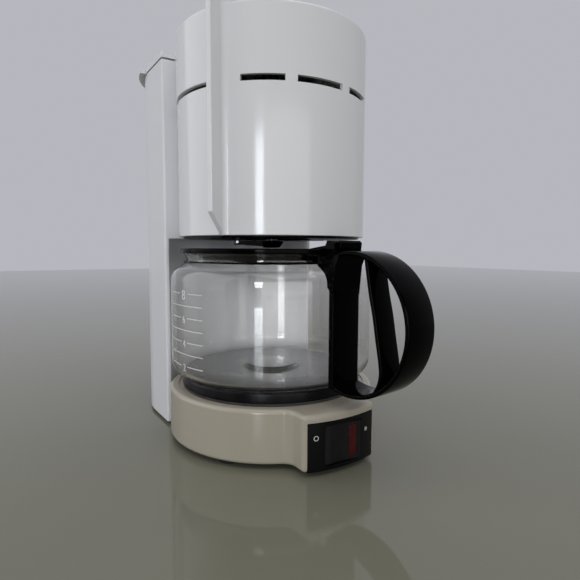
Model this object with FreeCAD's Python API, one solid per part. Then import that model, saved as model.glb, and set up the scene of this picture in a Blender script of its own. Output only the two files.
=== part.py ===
import FreeCAD, Part
import math
import os

# Drip coffee maker. Millimetres, +Z up, the front faces -Y.
# The model is drawn about the vertical axis of the filter drum and the jug, with the table at
# z = 0. export() moves it along Y so that the origin is the bottom centre of the whole machine.
# Angles about the drum axis are in degrees from the front (-Y), positive towards +X.

# ---- driving dimensions ----
WALL = 2.5                  # moulded wall of every housing part
GAP = 0.4                   # clearance between bodies that move past each other

FEET_H = 3.0                # free height of the feet under the base
BASE_R = 74.5               # round base
BASE_TOP = 37.5
CONSOLE_R = 88.0            # front face of the console, concentric with the base
CONSOLE_HALF = 27.6
PANEL_HALF = 25.0
PANEL_TOP = 32.7
ROCKER_HALF = 13.6
ROCKER_Z = (5.8, 29.5)

PLATE_R = 65.5              # hot plate
PLATE_TOP = 45.3

DRUM_R = 67.0               # filter drum
DRUM_Z = (143.0, 279.0)
SEAM_Z = (233.2, 236.9)     # air slots, and the seam between the rear shell and the cap
FIN_ANGLE = -58.7           # grip fin on the free edge of the filter door
FIN_DEPTH = 13.4
FIN_THICK = 3.5
FIN_TOP = 290.0
DOOR_END = 100.0            # hinge side of the filter door
HINGE_RHO = 61.2            # door hinge axis, distance from the drum axis
BARREL_R = 5.6

TANK_HALF = 66.2            # water tank column
TANK_FRONT = 44.0
TANK_SIDE_END = 77.0        # where the flat sides meet the round back
TANK_Z = (2.0, 271.6)
RECESS_R = 77.0             # hollow front of the column, round the jug
TANK_FLOOR = (54.0, 57.0)
LID_Z = (272.8, 276.8)
LID_LIP = 4.5

GLASS_R = 72.8              # jug
GLASS_WALL = 2.0
GLASS_BASE = 45.7
JUG_TURN = 6.8              # the jug stands turned on the plate, its handle to the right of the front
HANDLE_W = 24.0
INNER_GRIP_W = 17.0
LOOP_R = 43.9               # outer radius of the handle's round ribbon
LOOP_T = 2.9
LOOP_RHO = 89.3
LOOP_Z = 89.9
LOOP_END = 111.0            # the ribbon runs from -LOOP_END to LOOP_END about its centre
STRAP_RHO = (73.1, 77.3)
STRAP_Z = (49.4, 122.0)
LID_AXIS_RHO = 74.0         # hinge of the jug lid
LID_AXIS_Z = 136.0

UP = FreeCAD.Vector(0, 0, 1)
ZERO = FreeCAD.Vector(0, 0, 0)
TURN = math.radians(JUG_TURN)
HANDLE_REACH = (LOOP_RHO + LOOP_R) * math.cos(TURN) + HANDLE_W / 2.0 * math.sin(TURN)
TANK_BACK = TANK_SIDE_END + TANK_HALF + LID_LIP
AXIS_Y = (HANDLE_REACH - TANK_BACK) / 2.0


# ---- helpers ----
def vec(x, y, z=0.0):
    return FreeCAD.Vector(x, y, z)


def polar(rho, angle, z=0.0):
    a = math.radians(angle)
    return vec(rho * math.sin(a), -rho * math.cos(a), z)


def box(x0, x1, y0, y1, z0, z1):
    return Part.makeBox(x1 - x0, y1 - y0, z1 - z0, vec(x0, y0, z0))


def rod(radius, start, end):
    run = end.sub(start)
    return Part.makeCylinder(radius, run.Length, start, run)


def disc(radius, z0, z1, x=0.0, y=0.0):
    return rod(radius, vec(x, y, z0), vec(x, y, z1))


def tube(outer, inner, z0, z1, x=0.0, y=0.0):
    return disc(outer, z0, z1, x, y).cut(disc(inner, z0 - 1.0, z1 + 1.0, x, y))


def prism(points, z0, z1):
    wire = Part.makePolygon([vec(x, y, z0) for x, y in points + points[:1]])
    return Part.Face(wire).extrude(vec(0, 0, z1 - z0))


def turned(profile, start=0.0, sweep=360.0):
    """Solid of revolution from (radius, z) points, from one angle through a sweep."""
    wire = Part.makePolygon([polar(r, start, z) for r, z in profile + profile[:1]])
    return Part.Face(wire).revolve(ZERO, UP, sweep)


def shell_sector(outer, inner, z0, z1, start, end):
    return turned([(inner, z0), (outer, z0), (outer, z1), (inner, z1)], start, end - start)


def side_profile(points, width):
    """Solid of the given (rho, z) outline in the front-back plane, centred on x = 0."""
    wire = Part.makePolygon([vec(-width / 2.0, -r, z) for r, z in points + points[:1]])
    return Part.Face(wire).extrude(vec(width, 0, 0))


def x_rod(radius, half, rho, z):
    return rod(radius, vec(-half, -rho, z), vec(half, -rho, z))


def fuse(shapes):
    return shapes[0].multiFuse(shapes[1:]).removeSplitter()


def fillet_edges(shape, radius, chosen):
    edges = [e for e in shape.Edges if chosen(e)]
    return shape.makeFillet(radius, edges)


def at_height(z):
    return lambda e: abs(e.BoundBox.ZMin - z) < 0.01 and abs(e.BoundBox.ZMax - z) < 0.01


def bent_path(points, bend):
    """Straight runs through the points, joined by tangent arcs of one radius."""
    edges = []
    start = points[0]
    for before, corner, after in zip(points, points[1:], points[2:]):
        a = before.sub(corner).normalize()
        b = after.sub(corner).normalize()
        half = a.getAngle(b) / 2.0
        reach = bend / math.tan(half)
        first = corner.add(FreeCAD.Vector(a).multiply(reach))
        last = corner.add(FreeCAD.Vector(b).multiply(reach))
        inward = a.add(b).normalize()
        middle = corner.add(inward.multiply(bend / math.sin(half) - bend))
        edges.append(Part.LineSegment(start, first).toShape())
        edges.append(Part.Arc(first, middle, last).toShape())
        start = last
    edges.append(Part.LineSegment(start, points[-1]).toShape())
    return Part.Wire(edges)


def swept(points, bend, radius):
    path = bent_path(points, bend)
    run = points[1].sub(points[0])
    profile = Part.Wire(Part.makeCircle(radius, points[0], run))
    return path.makePipeShell([profile], True, False)


def hose(points, bend, outer, inner):
    return swept(points, bend, outer).cut(swept(points, bend, inner))


def export(node, shape):
    moved = shape.copy()
    moved.translate(vec(0, AXIS_Y, 0))
    moved.exportStep("parts/%s.step" % node)


# ---- plan outlines ----
def base_outline(inset):
    """Round base with the console block in front, as a wire at z = 0."""
    r = BASE_R - inset
    w = CONSOLE_HALF - inset
    front = CONSOLE_R - inset
    blend = 9.0 + inset
    nose = 3.0 - inset
    blend_y = -math.sqrt((r + blend) ** 2 - (w + blend) ** 2)
    nose_y = -math.sqrt((front - nose) ** 2 - (w - nose) ** 2)
    on_disc = vec(w + blend, blend_y).multiply(r / (r + blend))
    on_side = vec(w, blend_y)
    blend_mid = vec(w + blend, blend_y).add(
        on_disc.add(on_side).multiply(0.5).sub(vec(w + blend, blend_y)).normalize().multiply(blend))
    nose_centre = vec(w - nose, nose_y)
    nose_start = vec(w, nose_y)
    nose_end = FreeCAD.Vector(nose_centre).multiply(front / (front - nose))
    nose_mid = nose_centre.add(
        nose_start.add(nose_end).multiply(0.5).sub(nose_centre).normalize().multiply(nose))

    def mirror(p):
        return vec(-p.x, p.y)

    edges = [
        Part.Arc(mirror(on_disc), vec(0, r), on_disc).toShape(),
        Part.Arc(on_disc, blend_mid, on_side).toShape(),
        Part.LineSegment(on_side, nose_start).toShape(),
        Part.Arc(nose_start, nose_mid, nose_end).toShape(),
        Part.Arc(nose_end, vec(0, -front), mirror(nose_end)).toShape(),
        Part.Arc(mirror(nose_end), mirror(nose_mid), mirror(nose_start)).toShape(),
        Part.LineSegment(mirror(nose_start), mirror(on_side)).toShape(),
        Part.Arc(mirror(on_side), mirror(blend_mid), mirror(on_disc)).toShape(),
    ]
    return Part.Wire(edges)


def base_block(inset, z0, z1):
    block = Part.Face(base_outline(inset)).extrude(vec(0, 0, z1 - z0))
    block.translate(vec(0, 0, z0))
    return block


def column_block(inset, z0, z1):
    """Water column in plan: flat front and sides, round back; the hollow front is cut later."""
    half = TANK_HALF - inset
    front = TANK_FRONT + inset
    back = vec(0, TANK_SIDE_END + half)
    left = vec(-half, TANK_SIDE_END)
    right = vec(half, TANK_SIDE_END)
    edges = [
        Part.LineSegment(vec(-half, front), vec(half, front)).toShape(),
        Part.LineSegment(vec(half, front), right).toShape(),
        Part.Arc(right, back, left).toShape(),
        Part.LineSegment(left, vec(-half, front)).toShape(),
    ]
    block = Part.Face(Part.Wire(edges)).extrude(vec(0, 0, z1 - z0))
    block.translate(vec(0, 0, z0))
    return block


# ---- base ----
PLATE_OPENING_R = 60.0
LEDGE_R = 68.5
LEDGE_Z = BASE_TOP - 1.0
PASSAGE = (-24.0, 24.0, 66.0, 84.0, 12.0, 34.7)     # window for hoses and leads, base to column
PANEL_DEPTH = 1.5
COVER_Z = (FEET_H + 0.4, FEET_H + 2.2)
COLUMN_COVER_Z = (TANK_Z[0] + 0.5, TANK_Z[0] + 2.5)
FOOT_SPOTS = [(-52.0, -36.0), (52.0, -36.0), (-46.0, 100.0), (46.0, 100.0)]
SCREW_SPOTS = [(-50.0, 30.0), (50.0, 30.0), (-38.0, -44.0), (38.0, -44.0)]


def panel_zone(outer, half, z0, z1):
    band = tube(outer, CONSOLE_R - PANEL_DEPTH, z0, z1)
    return band.common(box(-half, half, -100.0, 0.0, z0, z1))


def base_housing():
    shape = base_block(0.0, FEET_H, BASE_TOP)
    shape = fillet_edges(shape, 2.4, at_height(BASE_TOP))
    shape = shape.cut(base_block(WALL, FEET_H - 1.0, BASE_TOP - WALL - 1.0))
    shape = shape.cut(disc(LEDGE_R, LEDGE_Z, BASE_TOP + 1.0))
    shape = shape.cut(disc(PLATE_OPENING_R, BASE_TOP - 8.0, BASE_TOP + 1.0))
    shape = shape.cut(panel_zone(CONSOLE_R + 2.0, PANEL_HALF, FEET_H - 1.0, PANEL_TOP))
    rocker_hole = box(-ROCKER_HALF - 1.5, ROCKER_HALF + 1.5, -92.0, -80.0,
                      ROCKER_Z[0] - 1.5, ROCKER_Z[1] + 1.5)
    shape = shape.cut(rocker_hole)
    shape = shape.cut(box(*PASSAGE))
    bosses = [disc(4.0, 8.0, BASE_TOP - WALL - 1.0, x, y) for x, y in SCREW_SPOTS]
    shape = fuse([shape] + bosses)
    for x, y in SCREW_SPOTS:
        shape = shape.cut(disc(1.4, 7.0, 24.0, x, y))
    return shape


def base_cover():
    shape = base_block(WALL + 0.2, *COVER_Z)
    for x, y in FOOT_SPOTS[:2]:
        shape = shape.cut(disc(3.0, 0.0, 10.0, x, y))
    for x, y in SCREW_SPOTS:
        shape = shape.cut(disc(1.6, 0.0, 10.0, x, y))
    for i in range(-3, 4):
        shape = shape.cut(box(-22.0, 22.0, i * 8.0 - 1.5, i * 8.0 + 1.5, 0.0, 10.0))
    return shape


def rubber_feet():
    feet = []
    floors = [COVER_Z[0]] * 2 + [COLUMN_COVER_Z[0]] * 2
    for (x, y), floor in zip(FOOT_SPOTS, floors):
        pad = disc(8.0, 0.0, floor, x, y)
        pad = fillet_edges(pad, 1.0, at_height(0.0))
        feet.append(fuse([pad, disc(2.9, floor - 0.5, floor + 2.0, x, y)]))
    return Part.makeCompound(feet)


def cover_screws():
    screws = []
    for x, y in SCREW_SPOTS:
        screws.append(fuse([disc(2.8, 1.6, COVER_Z[0], x, y), disc(1.35, 3.0, 20.0, x, y)]))
    return Part.makeCompound(screws)


def console_panel():
    panel = panel_zone(CONSOLE_R, PANEL_HALF, FEET_H, PANEL_TOP)
    corner = 2.0
    panel = panel.makeFillet(corner, [
        e for e in panel.Edges
        if abs(e.BoundBox.ZMin - PANEL_TOP) < 0.01 and e.BoundBox.XLength < 0.6
        and e.BoundBox.YLength > 1.0])
    hole = box(-ROCKER_HALF - GAP, ROCKER_HALF + GAP, -92.0, -80.0,
               ROCKER_Z[0] - GAP, ROCKER_Z[1] + GAP)
    return panel.cut(hole)


# The rocker turns about a vertical axle behind the panel. It rests with its off side pressed in.
ROCKER_AXIS_RHO = 80.5
ROCKER_TILT = 4.0
ROCKER_BACK = 84.0
ROCKER_FACE = CONSOLE_R - 0.2
ROCKER_GAP = 0.7
AXLE_R = 1.0
HUB_Z = (9.6, 25.7)
EAR_Z = [(6.8, 9.3), (26.0, 28.5)]
LENS_X = (4.6, 10.2)
LENS_Z = (8.0, 27.6)
SWITCH_FRONT = 77.5


def rocker_face():
    face = disc(ROCKER_FACE, ROCKER_Z[0], ROCKER_Z[1])
    face = face.common(box(-ROCKER_HALF, ROCKER_HALF, -100.0, -ROCKER_BACK, *ROCKER_Z))
    finger_dish = disc(60.0, 0.0, 40.0, 0.0, -ROCKER_FACE - 58.8)
    return face.cut(finger_dish)


def lens_block():
    return box(LENS_X[0], LENS_X[1], -100.0, -ROCKER_BACK, LENS_Z[0], LENS_Z[1])


def at_off(shape):
    turned_shape = shape.copy()
    turned_shape.rotate(vec(0, -ROCKER_AXIS_RHO), UP, -ROCKER_TILT)
    return turned_shape


def rocker_switch():
    hub = disc(2.6, HUB_Z[0], HUB_Z[1], 0.0, -ROCKER_AXIS_RHO)
    web = box(-1.6, 1.6, -ROCKER_BACK - 0.5, -ROCKER_AXIS_RHO, HUB_Z[0], HUB_Z[1])
    shape = fuse([rocker_face(), hub, web])
    shape = shape.cut(disc(AXLE_R + 0.05, 0.0, 40.0, 0.0, -ROCKER_AXIS_RHO))
    return at_off(shape.cut(lens_block()))


def rocker_lens():
    return at_off(rocker_face().common(lens_block()))


def rocker_axle():
    return disc(AXLE_R, EAR_Z[0][0], EAR_Z[1][1], 0.0, -ROCKER_AXIS_RHO)


def switch_body():
    parts = [box(-13.0, 13.0, -SWITCH_FRONT, -58.0, ROCKER_Z[0] + 1.0, ROCKER_Z[1])]
    for z0, z1 in EAR_Z:
        parts.append(disc(2.8, z0, z1, 0.0, -ROCKER_AXIS_RHO))
        parts.append(box(-2.8, 2.8, -ROCKER_AXIS_RHO, -SWITCH_FRONT + 1.0, z0, z1))
    for x in (-8.0, 0.0, 8.0):
        parts.append(box(x - 2.5, x + 2.5, -58.0, -50.0, 17.0, 17.8))
    return fuse(parts).cut(disc(AXLE_R, 0.0, 40.0, 0.0, -ROCKER_AXIS_RHO))


def indicator_lamp():
    return disc(1.8, 11.0, 24.0, (LENS_X[0] + LENS_X[1]) / 2.0, -SWITCH_FRONT - 1.8)


# ---- hot plate and heater ----
ELEMENT_R = 47.5
ELEMENT_ROD_R = 3.4
TUBE_R = 37.0
TUBE_ROD_R = 5.6
HEATER_Z = 28.0
ELEMENT_Z = 34.0
HEATER_END = 152.0          # both arms of the horseshoe stop here, towards the back
SPIGOT_Y = 62.0
SPIGOT_R = 4.2
HOSE_R = 5.6
PLATE_UNDERSIDE = PLATE_TOP - 2.6
STRAP_TOP = HEATER_Z - TUBE_ROD_R


def ring_rod(ring_r, radius, z, start, end):
    start_point = polar(ring_r, start, z)
    circle = Part.Wire(Part.makeCircle(radius, start_point, polar(1.0, start + 90.0)))
    return Part.Face(circle).revolve(ZERO, UP, end - start)


def hot_plate():
    profile = [(0.0, PLATE_TOP - 0.8), (58.5, PLATE_TOP - 0.8), (60.0, PLATE_TOP), (64.0, PLATE_TOP),
               (PLATE_R, PLATE_TOP - 1.5), (PLATE_R, 38.2), (PLATE_R - 2.5, 38.2),
               (PLATE_R - 2.5, PLATE_UNDERSIDE), (0.0, PLATE_UNDERSIDE)]
    stud = disc(2.0, STRAP_TOP - 5.0, PLATE_UNDERSIDE + 0.5)
    return fuse([turned(profile), stud])


def plate_seal():
    return tube(65.0, 61.5, LEDGE_Z, 38.2)


def heater_foot(side):
    return polar(TUBE_R, side * HEATER_END, HEATER_Z)


def flow_heater():
    parts = [ring_rod(TUBE_R, TUBE_ROD_R, HEATER_Z, -HEATER_END, HEATER_END),
             shell_sector(52.0, 33.0, HEATER_Z + 1.0, PLATE_UNDERSIDE, -HEATER_END, HEATER_END)]
    bores = [ring_rod(TUBE_R, 3.6, HEATER_Z, -HEATER_END + 4.0, HEATER_END - 4.0)]
    for side in (-1.0, 1.0):
        foot = heater_foot(side)
        inside = vec(foot.x, foot.y - 3.0, foot.z)
        parts.append(rod(SPIGOT_R, inside, vec(foot.x, SPIGOT_Y, foot.z)))
        bores.append(rod(3.0, vec(foot.x, foot.y - 4.5, foot.z), vec(foot.x, SPIGOT_Y + 1.0, foot.z)))
    shape = fuse(parts)
    for bore in bores:
        shape = shape.cut(bore)
    groove = ring_rod(ELEMENT_R, ELEMENT_ROD_R, ELEMENT_Z, -HEATER_END - 1.0, HEATER_END + 1.0)
    return shape.cut(groove)


def heating_element():
    parts = [ring_rod(ELEMENT_R, ELEMENT_ROD_R, ELEMENT_Z, -HEATER_END + 1.0, HEATER_END - 1.0)]
    for side in (-1.0, 1.0):
        end = polar(ELEMENT_R, side * (HEATER_END - 1.5), ELEMENT_Z)
        parts.append(rod(1.2, end, end.add(polar(8.0, side * (HEATER_END + 90.0)))))
    return fuse(parts)


def heater_strap():
    return box(-43.0, 43.0, -5.0, 5.0, STRAP_TOP - 1.6, STRAP_TOP).cut(disc(2.2, 10.0, 40.0))


def strap_nut():
    corner = 4.2
    points = [(corner * math.cos(math.radians(60 * i)), corner * math.sin(math.radians(60 * i)))
              for i in range(6)]
    return prism(points, STRAP_TOP - 4.8, STRAP_TOP - 1.6).cut(disc(2.0, 10.0, 40.0))


def thermostat():
    top = STRAP_TOP
    parts = [disc(8.0, top - 8.0, top, 0.0, -TUBE_R), disc(9.5, top - 5.0, top - 4.0, 0.0, -TUBE_R)]
    for x in (-4.5, 4.5):
        parts.append(box(x - 0.4, x + 0.4, -TUBE_R - 2.5, -TUBE_R + 2.5, top - 12.5, top - 7.5))
    return fuse(parts)


def thermal_fuses():
    z = STRAP_TOP - 2.2
    return Part.makeCompound([rod(2.2, vec(x, 8.0, z), vec(x, 24.0, z)) for x in (-TUBE_R, TUBE_R)])


# ---- plumbing ----
HOSE_X = abs(polar(TUBE_R, HEATER_END).x)
STRAINER_Y = 106.0
RISER_Y = 98.0
RISER_TOP = 263.0
CHECK_Z = (43.0, 52.0)
CHECK_WALL = 1.2
VALVE_BALL_R = 3.0
VALVE_BORE_R = 2.2


def tank_strainer():
    base = TANK_FLOOR[1]
    shape = disc(7.0, base, base + 6.0, -HOSE_X, STRAINER_Y)
    shape = shape.cut(disc(5.6, base - 1.0, base + 4.8, -HOSE_X, STRAINER_Y))
    for i in range(6):
        a = math.radians(30.0 + 60.0 * i)
        centre = vec(-HOSE_X, STRAINER_Y, base + 2.6)
        shape = shape.cut(rod(0.9, centre, centre.add(vec(9.0 * math.cos(a), 9.0 * math.sin(a)))))
    return shape


def check_valve():
    body = fuse([disc(6.0, CHECK_Z[0], CHECK_Z[1], -HOSE_X, STRAINER_Y),
                 disc(SPIGOT_R, CHECK_Z[0] - 5.0, TANK_FLOOR[1] + 0.5, -HOSE_X, STRAINER_Y)])
    chamber = disc(4.0, CHECK_Z[0] + CHECK_WALL, CHECK_Z[1] - CHECK_WALL, -HOSE_X, STRAINER_Y)
    bore = disc(VALVE_BORE_R, CHECK_Z[0] - 6.0, TANK_FLOOR[1] + 1.0, -HOSE_X, STRAINER_Y)
    return body.cut(chamber).cut(bore)


def valve_ball():
    seat = CHECK_Z[0] + CHECK_WALL
    z = seat + math.sqrt(VALVE_BALL_R ** 2 - VALVE_BORE_R ** 2) + 0.1
    return Part.makeSphere(VALVE_BALL_R, vec(-HOSE_X, STRAINER_Y, z))


def inlet_hose():
    points = [vec(-HOSE_X, SPIGOT_Y - 10.0, HEATER_Z), vec(-HOSE_X, STRAINER_Y, HEATER_Z),
              vec(-HOSE_X, STRAINER_Y, CHECK_Z[0] - 0.2)]
    return hose(points, 9.0, HOSE_R, SPIGOT_R)


RISER_POINTS = [vec(HOSE_X, SPIGOT_Y - 10.0, HEATER_Z), vec(HOSE_X, RISER_Y, HEATER_Z),
                vec(HOSE_X, RISER_Y, RISER_TOP), vec(0.0, 0.0, RISER_TOP), vec(0.0, 0.0, 249.0)]
RISER_BEND = 11.0


def riser_tube():
    return hose(RISER_POINTS, RISER_BEND, HOSE_R, SPIGOT_R)


def riser_passage():
    return swept(RISER_POINTS, RISER_BEND, HOSE_R + 0.3)


def riser_grommet():
    z0, z1 = TANK_FLOOR
    sleeve = tube(7.2, HOSE_R, z0 - 2.0, z1 + 2.0, HOSE_X, RISER_Y)
    collars = [tube(9.2, HOSE_R, z0 - 2.0, z0, HOSE_X, RISER_Y),
               tube(9.2, HOSE_R, z1, z1 + 2.0, HOSE_X, RISER_Y)]
    return fuse([sleeve] + collars)


# ---- water tank column ----
DRUM_SEAT_R = DRUM_R + 0.6
DRUM_SEAT_Z = 142.2
INLET_Z = 22.0
BUSH_R = 7.0
BUSH_BORE_R = 3.6
BUSH_BACK = TANK_SIDE_END + TANK_HALF
LID_PIN_R = 1.25
LID_AXIS_Y = TANK_FRONT + 2.0
LID_AXIS_HEIGHT = (LID_Z[0] + LID_Z[1]) / 2.0
LID_EAR_X = (58.8, 62.8)


def lid_ear(side):
    x0, x1 = sorted((side * LID_EAR_X[0], side * LID_EAR_X[1]))
    top = rod(1.9, vec(x0, LID_AXIS_Y, LID_AXIS_HEIGHT), vec(x1, LID_AXIS_Y, LID_AXIS_HEIGHT))
    post = box(x0, x1, LID_AXIS_Y - 1.9, LID_AXIS_Y + 1.9, TANK_Z[1] - 3.0, LID_AXIS_HEIGHT)
    return fuse([top, post])


def tank_column():
    shape = column_block(0.0, TANK_Z[0], TANK_Z[1])
    front_corners = [e for e in shape.Edges
                     if e.BoundBox.ZLength > 200.0 and e.BoundBox.YMax < TANK_FRONT + 0.01]
    shape = shape.makeFillet(1.6, front_corners)
    shape = shape.cut(disc(RECESS_R, 0.0, DRUM_SEAT_Z))
    shape = shape.cut(disc(DRUM_SEAT_R, 0.0, 300.0))
    lower = column_block(WALL, TANK_Z[0] - 1.0, TANK_FLOOR[0])
    tank_low = column_block(WALL, TANK_FLOOR[1], DRUM_SEAT_Z + WALL)
    tank_high = column_block(WALL, DRUM_SEAT_Z + WALL - 1.0, TANK_Z[1] + 1.0)
    shape = shape.cut(lower.cut(disc(RECESS_R + WALL, 0.0, 300.0)))
    shape = shape.cut(tank_low.cut(disc(RECESS_R + WALL, 0.0, 300.0)))
    shape = shape.cut(tank_high.cut(disc(DRUM_SEAT_R + WALL, 0.0, 300.0)))
    shape = shape.cut(box(*PASSAGE))
    shape = shape.cut(riser_passage())
    shape = shape.cut(disc(7.2, 50.0, 60.0, HOSE_X, RISER_Y))
    shape = shape.cut(disc(SPIGOT_R, 50.0, 60.0, -HOSE_X, STRAINER_Y))
    shape = shape.cut(rod(BUSH_R, vec(0, BUSH_BACK - 10.0, INLET_Z), vec(0, BUSH_BACK + 5.0, INLET_Z)))
    shape = fuse([shape, lid_ear(-1.0), lid_ear(1.0)])
    return shape.cut(x_rod(LID_PIN_R, 80.0, -LID_AXIS_Y, LID_AXIS_HEIGHT))


def column_cover():
    cover = column_block(WALL + 0.2, *COLUMN_COVER_Z)
    cover = cover.cut(disc(RECESS_R + WALL + 0.2, 0.0, 300.0))
    for x, y in FOOT_SPOTS[2:]:
        cover = cover.cut(disc(2.9, 0.0, 10.0, x, y))
    return cover


def cord_inlet_bush():
    back = BUSH_BACK
    sleeve = rod(BUSH_R, vec(0, back - 7.0, INLET_Z), vec(0, back + 1.5, INLET_Z))
    flange = rod(BUSH_R + 1.8, vec(0, back + 0.3, INLET_Z), vec(0, back + 2.3, INLET_Z))
    inner = rod(BUSH_R + 1.2, vec(0, back - 8.5, INLET_Z), vec(0, back - 5.5, INLET_Z))
    bore = rod(BUSH_BORE_R, vec(0, back - 12.0, INLET_Z), vec(0, back + 5.0, INLET_Z))
    return fuse([sleeve, flange, inner]).cut(bore)


def terminal_block():
    block = box(24.0, 46.0, 104.0, 114.0, 6.0, 16.0)
    for x in (28.0, 35.0, 42.0):
        block = block.cut(disc(1.8, 12.0, 18.0, x, 109.0))
    return block


def lid_pins():
    x0 = LID_EAR_X[0] - 2.6
    x1 = LID_EAR_X[1] + 2.4
    pins = []
    for side in (-1.0, 1.0):
        pins.append(rod(LID_PIN_R, vec(side * x0, LID_AXIS_Y, LID_AXIS_HEIGHT),
                        vec(side * x1, LID_AXIS_Y, LID_AXIS_HEIGHT)))
    return Part.makeCompound(pins)


HORN_INNER_X = 55.6         # inner side of the lid's two horns, clear of the drum when it opens
HORN_END_Y = 54.0


def tank_lid():
    z0, z1 = LID_Z
    plate = column_block(0.0, z0, z1)
    plate = plate.cut(disc(DRUM_R + 1.9, 0.0, 300.0))
    plate = plate.cut(box(-HORN_INNER_X, HORN_INNER_X, 0.0, HORN_END_Y, z0 - 1.0, z1 + 1.0))
    lip = column_block(-LID_LIP, z0, z1).cut(box(-90.0, 90.0, 0.0, TANK_SIDE_END + 8.0, 0.0, 300.0))
    rib = column_block(WALL + 0.6, z0 - 4.0, z0 + 0.5)
    rib = rib.cut(column_block(WALL + 2.6, z0 - 5.0, z0 + 1.0))
    rib = rib.cut(box(-90.0, 90.0, 0.0, 96.0, 0.0, 300.0))
    shape = fuse([plate, lip, rib])
    nose = box(-90.0, 90.0, TANK_FRONT - 1.0, LID_AXIS_Y, z0 - 1.0, z1 + 1.0)
    rounded = rod((z1 - z0) / 2.0, vec(-90.0, LID_AXIS_Y, LID_AXIS_HEIGHT),
                  vec(90.0, LID_AXIS_Y, LID_AXIS_HEIGHT))
    shape = shape.cut(nose.cut(rounded))
    for side in (-1.0, 1.0):
        x0, x1 = sorted((side * (LID_EAR_X[0] - 0.3), side * (LID_EAR_X[1] + 0.3)))
        shape = shape.cut(box(x0, x1, 0.0, LID_AXIS_Y + 2.6, 0.0, 300.0))
    return shape.cut(x_rod(LID_PIN_R + 0.05, LID_EAR_X[1] + 2.6, -LID_AXIS_Y, LID_AXIS_HEIGHT))


# ---- filter drum: fixed shell and cap ----
SHELL_START = DOOR_END + 6.2
SHELL_END = 360.0 + FIN_ANGLE - 0.6
SHELL_R = DRUM_R - 0.5
CAP_R = DRUM_R + 0.2
INNER_R = DRUM_R - WALL
HINGE = polar(HINGE_RHO, DOOR_END)
PIN_R = 2.0
LUG_LOW = (145.2, 149.2)
LUG_HIGH = (269.0, DRUM_Z[1])
RIM_T = 3.0


def barrel_space(z0, z1):
    return disc(BARREL_R + GAP, z0, z1, HINGE.x, HINGE.y)


def hinge_lug(z0, z1):
    """Eye for the hinge pin, on an arm that stays inside the sweep of the opening door."""
    eye = disc(BARREL_R - 0.4, z0, z1, HINGE.x, HINGE.y)
    arm = shell_sector(HINGE_RHO + 1.0, HINGE_RHO - 4.0, z0, z1, DOOR_END, SHELL_START + 6.0)
    root = shell_sector(SHELL_R - 0.5, HINGE_RHO - 4.0, z0, z1, SHELL_START + 1.3, SHELL_START + 6.0)
    return fuse([eye, arm, root]).cut(disc(PIN_R, z0, min(z1, LUG_HIGH[1] - 2.0), HINGE.x, HINGE.y))


def drum_rear_shell():
    z0, z1 = DRUM_Z[0], SEAM_Z[0]
    shell = shell_sector(SHELL_R, INNER_R - 0.4, z0, z1, SHELL_START, SHELL_END)
    shell = shell.cut(barrel_space(z0 - 1.0, z1 + 1.0))
    return fuse([shell, hinge_lug(*LUG_LOW)])


def brew_cap():
    z1 = DRUM_Z[1]
    skirt = turned([(INNER_R - 0.4, SEAM_Z[1] - 1.4), (CAP_R, SEAM_Z[1] - 1.4), (CAP_R, z1 - 2.0),
                    (CAP_R - 0.6, z1 - 0.6), (CAP_R - 2.0, z1), (INNER_R - 0.4, z1)],
                   SHELL_START, SHELL_END - SHELL_START)
    top = disc(INNER_R - GAP, z1 - RIM_T, z1)
    shape = fuse([skirt, top])
    shape = shape.cut(disc(BARREL_R + 2.2, 0.0, 300.0, HINGE.x, HINGE.y)).cut(riser_passage())
    return fuse([shape, hinge_lug(*LUG_HIGH)])


def door_hinge_pin():
    return disc(PIN_R, LUG_LOW[0], LUG_HIGH[1] - 2.0, HINGE.x, HINGE.y)


SHOWER_Z = (236.5, 246.0)


def shower_head():
    z0, z1 = SHOWER_Z
    dome = turned([(0.0, z0), (34.0, z0), (34.0, z0 + 3.0), (8.0, z1), (0.0, z1)])
    inside = turned([(0.0, z0 + 1.8), (32.0, z0 + 1.8), (32.0, z0 + 2.2), (7.0, z1 - 1.8),
                     (0.0, z1 - 1.8)])
    parts = [dome.cut(inside), disc(SPIGOT_R, z1 - 1.0, z1 + 5.5)]
    for i in range(3):
        post = polar(26.0, 120.0 * i)
        parts.append(disc(3.0, z0 + 3.0, DRUM_Z[1] - RIM_T, post.x, post.y))
    shape = fuse(parts).cut(disc(2.8, z1 - 3.0, z1 + 8.0))
    for ring_r, count in ((10.0, 6), (20.0, 10), (28.0, 14)):
        for i in range(count):
            spot = polar(ring_r, 360.0 * i / count)
            shape = shape.cut(disc(1.2, z0 - 1.0, z0 + 2.1, spot.x, spot.y))
    return shape


# ---- filter door ----
SLOTS = [(-46.6, -23.5), (-17.1, 11.1), (16.9, 40.4)]
DOOR_BARREL_Z = (LUG_LOW[1] + GAP, LUG_HIGH[0] - GAP)


def fin():
    z0 = DRUM_Z[0]
    tip = DRUM_R + FIN_DEPTH
    root = DRUM_R - 1.5
    points = [(root, z0), (DRUM_R, z0), (tip, z0 + FIN_DEPTH), (tip, FIN_TOP), (root, FIN_TOP)]
    blade = side_profile(points, FIN_THICK)
    upright = [e for e in blade.Edges
               if e.BoundBox.ZLength > 100.0 and e.BoundBox.YMin < -tip + 0.01]
    blade = blade.makeFillet(0.5, upright)
    blade.rotate(ZERO, UP, FIN_ANGLE + math.degrees(FIN_THICK / 2.0 / DRUM_R))
    return blade


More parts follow.
